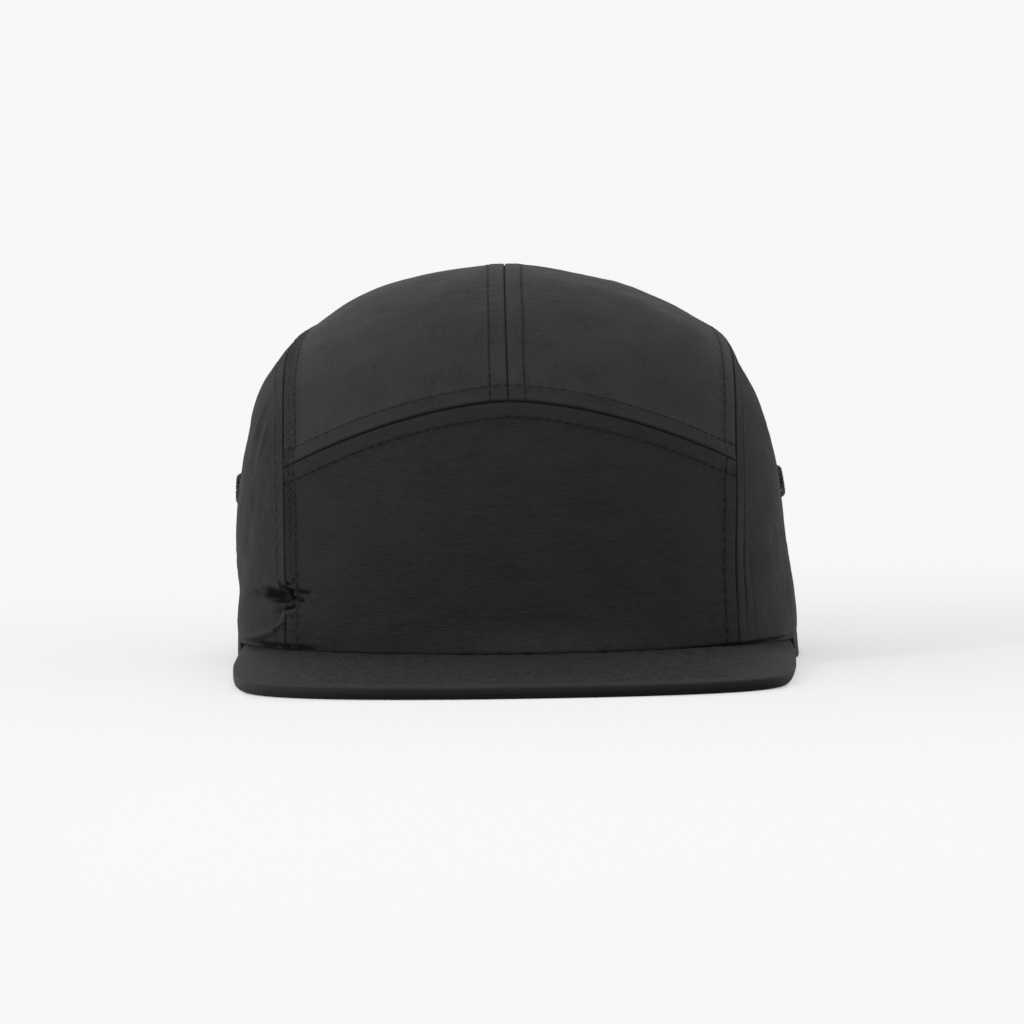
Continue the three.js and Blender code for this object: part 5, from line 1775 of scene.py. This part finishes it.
@dataclass(frozen=True)
class Eyelet:
    """A sewn eyelet: close satin stitches over the edge of a hole."""

    form: CrownForm
    height: float = 52.7
    bore: float = 1.9
    radius: float = 4.7
    rise: float = 1.0
    back_rise: float = 0.8
    threads: int = 46

    def build(self, side: Side) -> Mesh:
        """Makes one eyelet's mesh."""
        disk = self.form.at_azimuth(np.array([side.value * 90.0]), np.array([self.height]))
        centre, normal = self.form.point(disk)[0], self.form.normal(disk)[0]
        ahead = unit(np.cross(normal, np.array([0.0, 0.0, 1.0])))
        aside = np.cross(normal, ahead)
        middle = (self.bore + self.radius) / 2
        cloth = self.form.cloth
        path = np.array([
            (self.radius + 0.1, -0.15), (self.radius - 0.35, 0.62 * self.rise), (middle + 0.45, self.rise),
            (middle - 0.35, self.rise), (self.bore + 0.25, 0.62 * self.rise), (self.bore, -0.2),
            (self.bore, -cloth + 0.2), (self.bore + 0.25, -cloth - 0.5 * self.back_rise),
            (middle, -cloth - self.back_rise), (self.radius - 0.5, -cloth - 0.5 * self.back_rise),
            (self.radius - 0.1, -cloth + 0.1),
        ])
        rng = np.random.default_rng(SEED + 90 + side.value)
        rings_all: list[Array] = []
        faces_all: list[tuple[int, ...]] = []
        count = 0
        turns = np.linspace(0.0, 2 * np.pi, 7)[:-1]
        for k in range(self.threads):
            angle = 2 * np.pi * (k + rng.uniform(-0.12, 0.12)) / self.threads
            twist = 0.05 * rng.normal()
            reach = path * np.array([1.0 + 0.015 * rng.normal(), 1.0])
            spin = angle + twist * np.linspace(-1.0, 1.0, len(path))
            radial = np.cos(spin)[:, None] * ahead + np.sin(spin)[:, None] * aside
            spine = centre + radial * reach[:, :1] + normal * reach[:, 1:]
            way = unit(np.gradient(spine, axis=0))
            flank = unit(np.cross(way, radial + 1e-6 * normal))
            flank = np.where(np.abs(np.einsum("ij,ij->i", flank, flank))[:, None] > 0.5, flank, np.cross(normal, radial))
            lift = np.cross(flank, way)
            wide = 0.72 * np.pi * reach[:, 0] / self.threads + 0.07
            rings = spine[:, None, :] + np.cos(turns)[None, :, None] * flank[:, None, :] * wide[:, None, None]
            rings = rings + 0.24 * np.sin(turns)[None, :, None] * lift[:, None, :]
            points, faces = loft(rings)
            rings_all.append(points)
            faces_all += [tuple(i + count for i in face) for face in faces]
            count += len(points)
        return Mesh(np.concatenate(rings_all), faces_all)


# Studio


@dataclass(frozen=True)
class Studio:
    """The pale floor, the soft lights and the camera."""

    distance: float = 1.3
    height: float = 0.0918
    azimuth: float = 0.4
    roll: float = 0.9
    focal_pixels: float = 4225.0
    horizon: float = 358.0
    column: float = 516.0
    picture: float = 1024.0
    target: tuple[float, float] = (0.0, 0.0338)
    pale: float = 0.935
    glow: float = 0.45
    left_glow: float = 0.22
    even: float = 0.64
    leftward: float = -0.14
    backward: float = 0.06
    upward: float = 0.16

    def camera(self) -> None:
        """Adds the camera at the photograph's angle."""
        angle = math.radians(self.azimuth)
        place = Vector((self.target[0] + self.distance * math.sin(angle),
                        self.target[1] - self.distance * math.cos(angle), self.height))
        half = self.picture / 2
        turn = angle + math.atan((self.column - half) / self.focal_pixels)
        pitch = math.atan((half - self.horizon) / self.focal_pixels)
        level = Vector((-math.sin(turn), math.cos(turn), 0.0))
        right = Vector((level.y, -level.x, 0.0))
        up = Vector((0.0, 0.0, 1.0))
        ahead = math.cos(pitch) * level - math.sin(pitch) * up
        over = math.cos(pitch) * up + math.sin(pitch) * level
        roll = math.radians(self.roll)
        across = math.cos(roll) * right - math.sin(roll) * over
        above = math.sin(roll) * right + math.cos(roll) * over
        data = bpy.data.cameras.new("camera")
        data.lens = self.focal_pixels / self.picture * data.sensor_width
        data.clip_end = 50.0
        camera = bpy.data.objects.new("camera", data)
        turned = Matrix((across, above, -ahead)).transposed()
        camera.matrix_world = Matrix.Translation(place) @ turned.to_4x4()
        bpy.context.scene.collection.objects.link(camera)
        bpy.context.scene.camera = camera

    @staticmethod
    def outside(nodes: Nodes, places: bpy.types.NodeSocket) -> bpy.types.NodeSocket:
        """How far a place on the floor is out of the cap's footprint: 0 under the cap and 1 beside it.

        Args:
            nodes: The floor's nodes.
            places: The place.

        Returns:
            A value from 0 to 1.
        """
        parts = nodes.add("SeparateXYZ", {0: places})
        x, y = parts.outputs["X"], parts.outputs["Y"]
        peak_half = nodes.maths("MULTIPLY_ADD", y, 0.07, 0.0824)
        shares = (
            (nodes.maths("DIVIDE", x, 0.086), nodes.maths("DIVIDE", nodes.maths("SUBTRACT", y, 0.0343), 0.097), 2.3),
            (nodes.maths("DIVIDE", x, peak_half), nodes.maths("DIVIDE", nodes.maths("ADD", y, 0.063), 0.0688), 8.0),
        )
        sums = []
        for across, ahead, power in shares:
            powers = [nodes.maths("POWER", nodes.maths("ABSOLUTE", value), power) for value in (across, ahead)]
            sums.append(nodes.maths("ADD", *powers))
        return nodes.add("MapRange", {0: nodes.maths("MINIMUM", *sums), 1: 0.9, 2: 1.06, 3: 0.0, 4: 1.0}).outputs[0]

    def floor(self) -> None:
        """Adds the floor, which fades into the background far from the cap."""
        data = bpy.data.meshes.new("floor")
        reach = 9.0
        data.from_pydata([(-reach, -reach, 0), (reach, -reach, 0), (reach, reach, 0), (-reach, reach, 0)], [],
                         [(0, 1, 2, 3)])
        material = bpy.data.materials.new("pale_floor")
        material.use_nodes = True
        nodes = Nodes(material.node_tree)
        shader = material.node_tree.nodes["Principled BSDF"]
        shader.inputs["Base Color"].default_value = (0.93, 0.93, 0.93, 1.0)
        shader.inputs["Roughness"].default_value = 0.85
        places = nodes.add("TexCoord").outputs["Object"]
        far = nodes.add("VectorMath", {0: places}, operation="LENGTH").outputs["Value"]
        fade = nodes.add("MapRange", {0: far, 1: 0.2, 2: 0.62, 3: self.glow, 4: 1.0}).outputs[0]
        # Extra glow left of the cap: a painted light that lifts the floor's shadow there.
        across = nodes.add("SeparateXYZ", {0: places}).outputs["X"]
        left = nodes.add("MapRange", {0: across, 1: -0.075, 2: -0.105, 3: 0.0, 4: self.left_glow}).outputs[0]
        fade = nodes.maths("MINIMUM", nodes.maths("ADD", fade, left), 1.0)
        # No glow within and just around the cap's footprint: a painted shadow under the cap and along its edges.
        fade = nodes.maths("MULTIPLY", fade, self.outside(nodes, places))
        glow = nodes.add("Emission", {"Color": (self.pale, self.pale, self.pale, 1.0), "Strength": 1.0})
        mixed = nodes.add("MixShader", {0: fade, 1: shader.outputs[0], 2: glow.outputs[0]})
        material.node_tree.links.new(mixed.outputs[0], material.node_tree.nodes["Material Output"].inputs["Surface"])
        data.materials.append(material)
        floor = bpy.data.objects.new("floor", data)
        bpy.context.scene.collection.objects.link(floor)

    def area(self, name: str, place: tuple[float, float, float], size: float, watts: float) -> None:
        """Adds a square soft light that faces the cap."""
        data = bpy.data.lights.new(name, "AREA")
        data.shape = "DISK"
        data.size = size
        data.energy = watts
        light = bpy.data.objects.new(name, data)
        light.location = place
        light.rotation_euler = (Vector((0.0, 0.03, 0.05)) - Vector(place)).to_track_quat("-Z", "Y").to_euler()
        bpy.context.scene.collection.objects.link(light)

    def sky(self) -> None:
        """Adds the room's light, brighter above and to the left, and the pale background."""
        world = bpy.data.worlds.new("room")
        world.use_nodes = True
        nodes = Nodes(world.node_tree)
        way = nodes.add("SeparateXYZ", {0: nodes.add("TexCoord").outputs["Generated"]})
        level = nodes.maths("MULTIPLY_ADD", way.outputs["X"], self.leftward, self.even)
        level = nodes.maths("MULTIPLY_ADD", way.outputs["Y"], self.backward, level)
        level = nodes.maths("MULTIPLY_ADD", way.outputs["Z"], self.upward, level)
        background = world.node_tree.nodes["Background"]
        background.inputs["Color"].default_value = (1.0, 1.0, 1.0, 1.0)
        world.node_tree.links.new(level, background.inputs["Strength"])
        seen = nodes.add("Background", {"Color": (self.pale, self.pale, self.pale, 1.0), "Strength": 1.0})
        ray = nodes.add("LightPath").outputs["Is Camera Ray"]
        mixed = nodes.add("MixShader", {0: ray, 1: background.outputs[0], 2: seen.outputs[0]})
        world.node_tree.links.new(mixed.outputs[0], world.node_tree.nodes["World Output"].inputs["Surface"])
        bpy.context.scene.world = world

    def make(self) -> None:
        """Sets up the whole studio."""
        bpy.context.scene.view_settings.view_transform = "Standard"
        self.camera()
        self.floor()
        self.sky()
        self.area("key_light", (-1.2, -1.1, 0.66), 0.5, 8.5)
        self.area("front_light", (0.35, -1.2, 0.9), 1.0, 4.0)
        self.area("fill_light", (1.6, -0.1, 0.65), 0.9, 0.8)


# Main


def main() -> None:
    """Builds every piece of the cap, then the studio."""
    logging.basicConfig(level=logging.INFO, format="%(name)s: %(message)s")
    Studio().make()
    form = CrownForm()
    plan = SeamPlan(form)
    peak = Peak(form, plan)
    low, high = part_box("peak")
    middle = ((low[0] + high[0]) / 2 / MILLIMETRE, low[1] / MILLIMETRE + form.front + peak.length)
    shop = Workshop(middle)
    effects = Effects()
    # The crown, side and front finishes are one black nylon in lit and shaded copies: the top panels' copy is painted
    # lighter and the side and front copies darker, standing in for how the light falls on each panel.
    crown = ClothFinish("crown_nylon", (0.0125, 0.0126, 0.013), (0.0203, 0.0205, 0.021), crinkle=1.5, stretch=0.5,
                        crinkle_depth=0.42, patchiness=0.8, sheen=0.03, specular=0.19, rub=0.35)
    side = replace(crown, name="side_nylon", dark=(0.0101, 0.0102, 0.0105), light=(0.0166, 0.0168, 0.0173),
                   sheen=0.0, specular=0.13)
    front = ClothFinish("front_nylon", (0.0075, 0.0076, 0.0079), (0.0131, 0.0133, 0.0138), crinkle=3.3, stretch=6.5,
                        crinkle_depth=0.36, streak=4.2, crease=0.4, patchiness=0.2, cloudy=0.25, sheen=0.02,
                        specular=0.18, rub=0.35)
    peak_nylon = ClothFinish("peak_nylon", (0.0075, 0.0076, 0.008), (0.0111, 0.0113, 0.0118), crinkle_depth=0.12,
                             sheen=0.02, specular=0.23, roughness=0.7, stretch=1.5, rub=0.5).material(effects)
    twill = ClothFinish("twill", (0.012, 0.012, 0.013), (0.018, 0.018, 0.019), roughness=0.85, sheen=0.4, pitch=0.9,
                        slant=1.0, weave_depth=0.12, crinkle_depth=0.03, rub=0.2).material(effects)
    webbing = ClothFinish("webbing", (0.013, 0.013, 0.014), (0.02, 0.02, 0.021), roughness=0.8, sheen=0.35, pitch=0.7,
                          weave_depth=0.08, crinkle_depth=0.03, rub=0.3).material(effects)
    thread = ThreadFinish("sewing_thread", (0.007, 0.007, 0.0073), contrast=1.6).material(effects)
    top_thread = ThreadFinish("top_thread", (0.0085, 0.0085, 0.0088), contrast=2.2).material(effects)
    row_thread = ThreadFinish("row_thread", (0.0125, 0.0125, 0.013), specular=0.25, contrast=1.2).material(effects)
    satin = ThreadFinish("eyelet_satin", (0.008, 0.008, 0.0084), roughness=0.42, specular=0.4).material(effects)
    plastic = PlasticFinish("clip_plastic", (0.014, 0.014, 0.015)).material(effects)

    panels = CrownPanels(form, plan)
    finishes = {"front": front, "top": crown, "side": side}
    threads = {"front": thread, "top": top_thread, "side": thread}
    panels.make(shop, {word: finish.material(effects) for word, finish in finishes.items()}, threads)
    peak.make(shop, peak_nylon, row_thread)
    rim = RimPieces(form, plan)
    band = rim.band()
    shop.piece("sweatband_tape", band, twill, ("sweatband",), "band_cloth")
    shop.piece("sweatband_stitches", rim.band_stitches(band).mesh(), thread, (), "eyelet_thread")
    shop.piece("strap_webbing", rim.strap(), webbing, ("back_strap",), "strap_webbing")
    shop.piece("clip_moulding", rim.clip(), plastic, ("strap_clip",), "clip_plastic")
    eyelet = Eyelet(form)
    for side in Side:
        shop.piece(f"eyelet_{side.word}_thread", eyelet.build(side), satin, (f"eyelet_{side.word}",), "eyelet_thread")


if __name__ == "__main__":
    main()
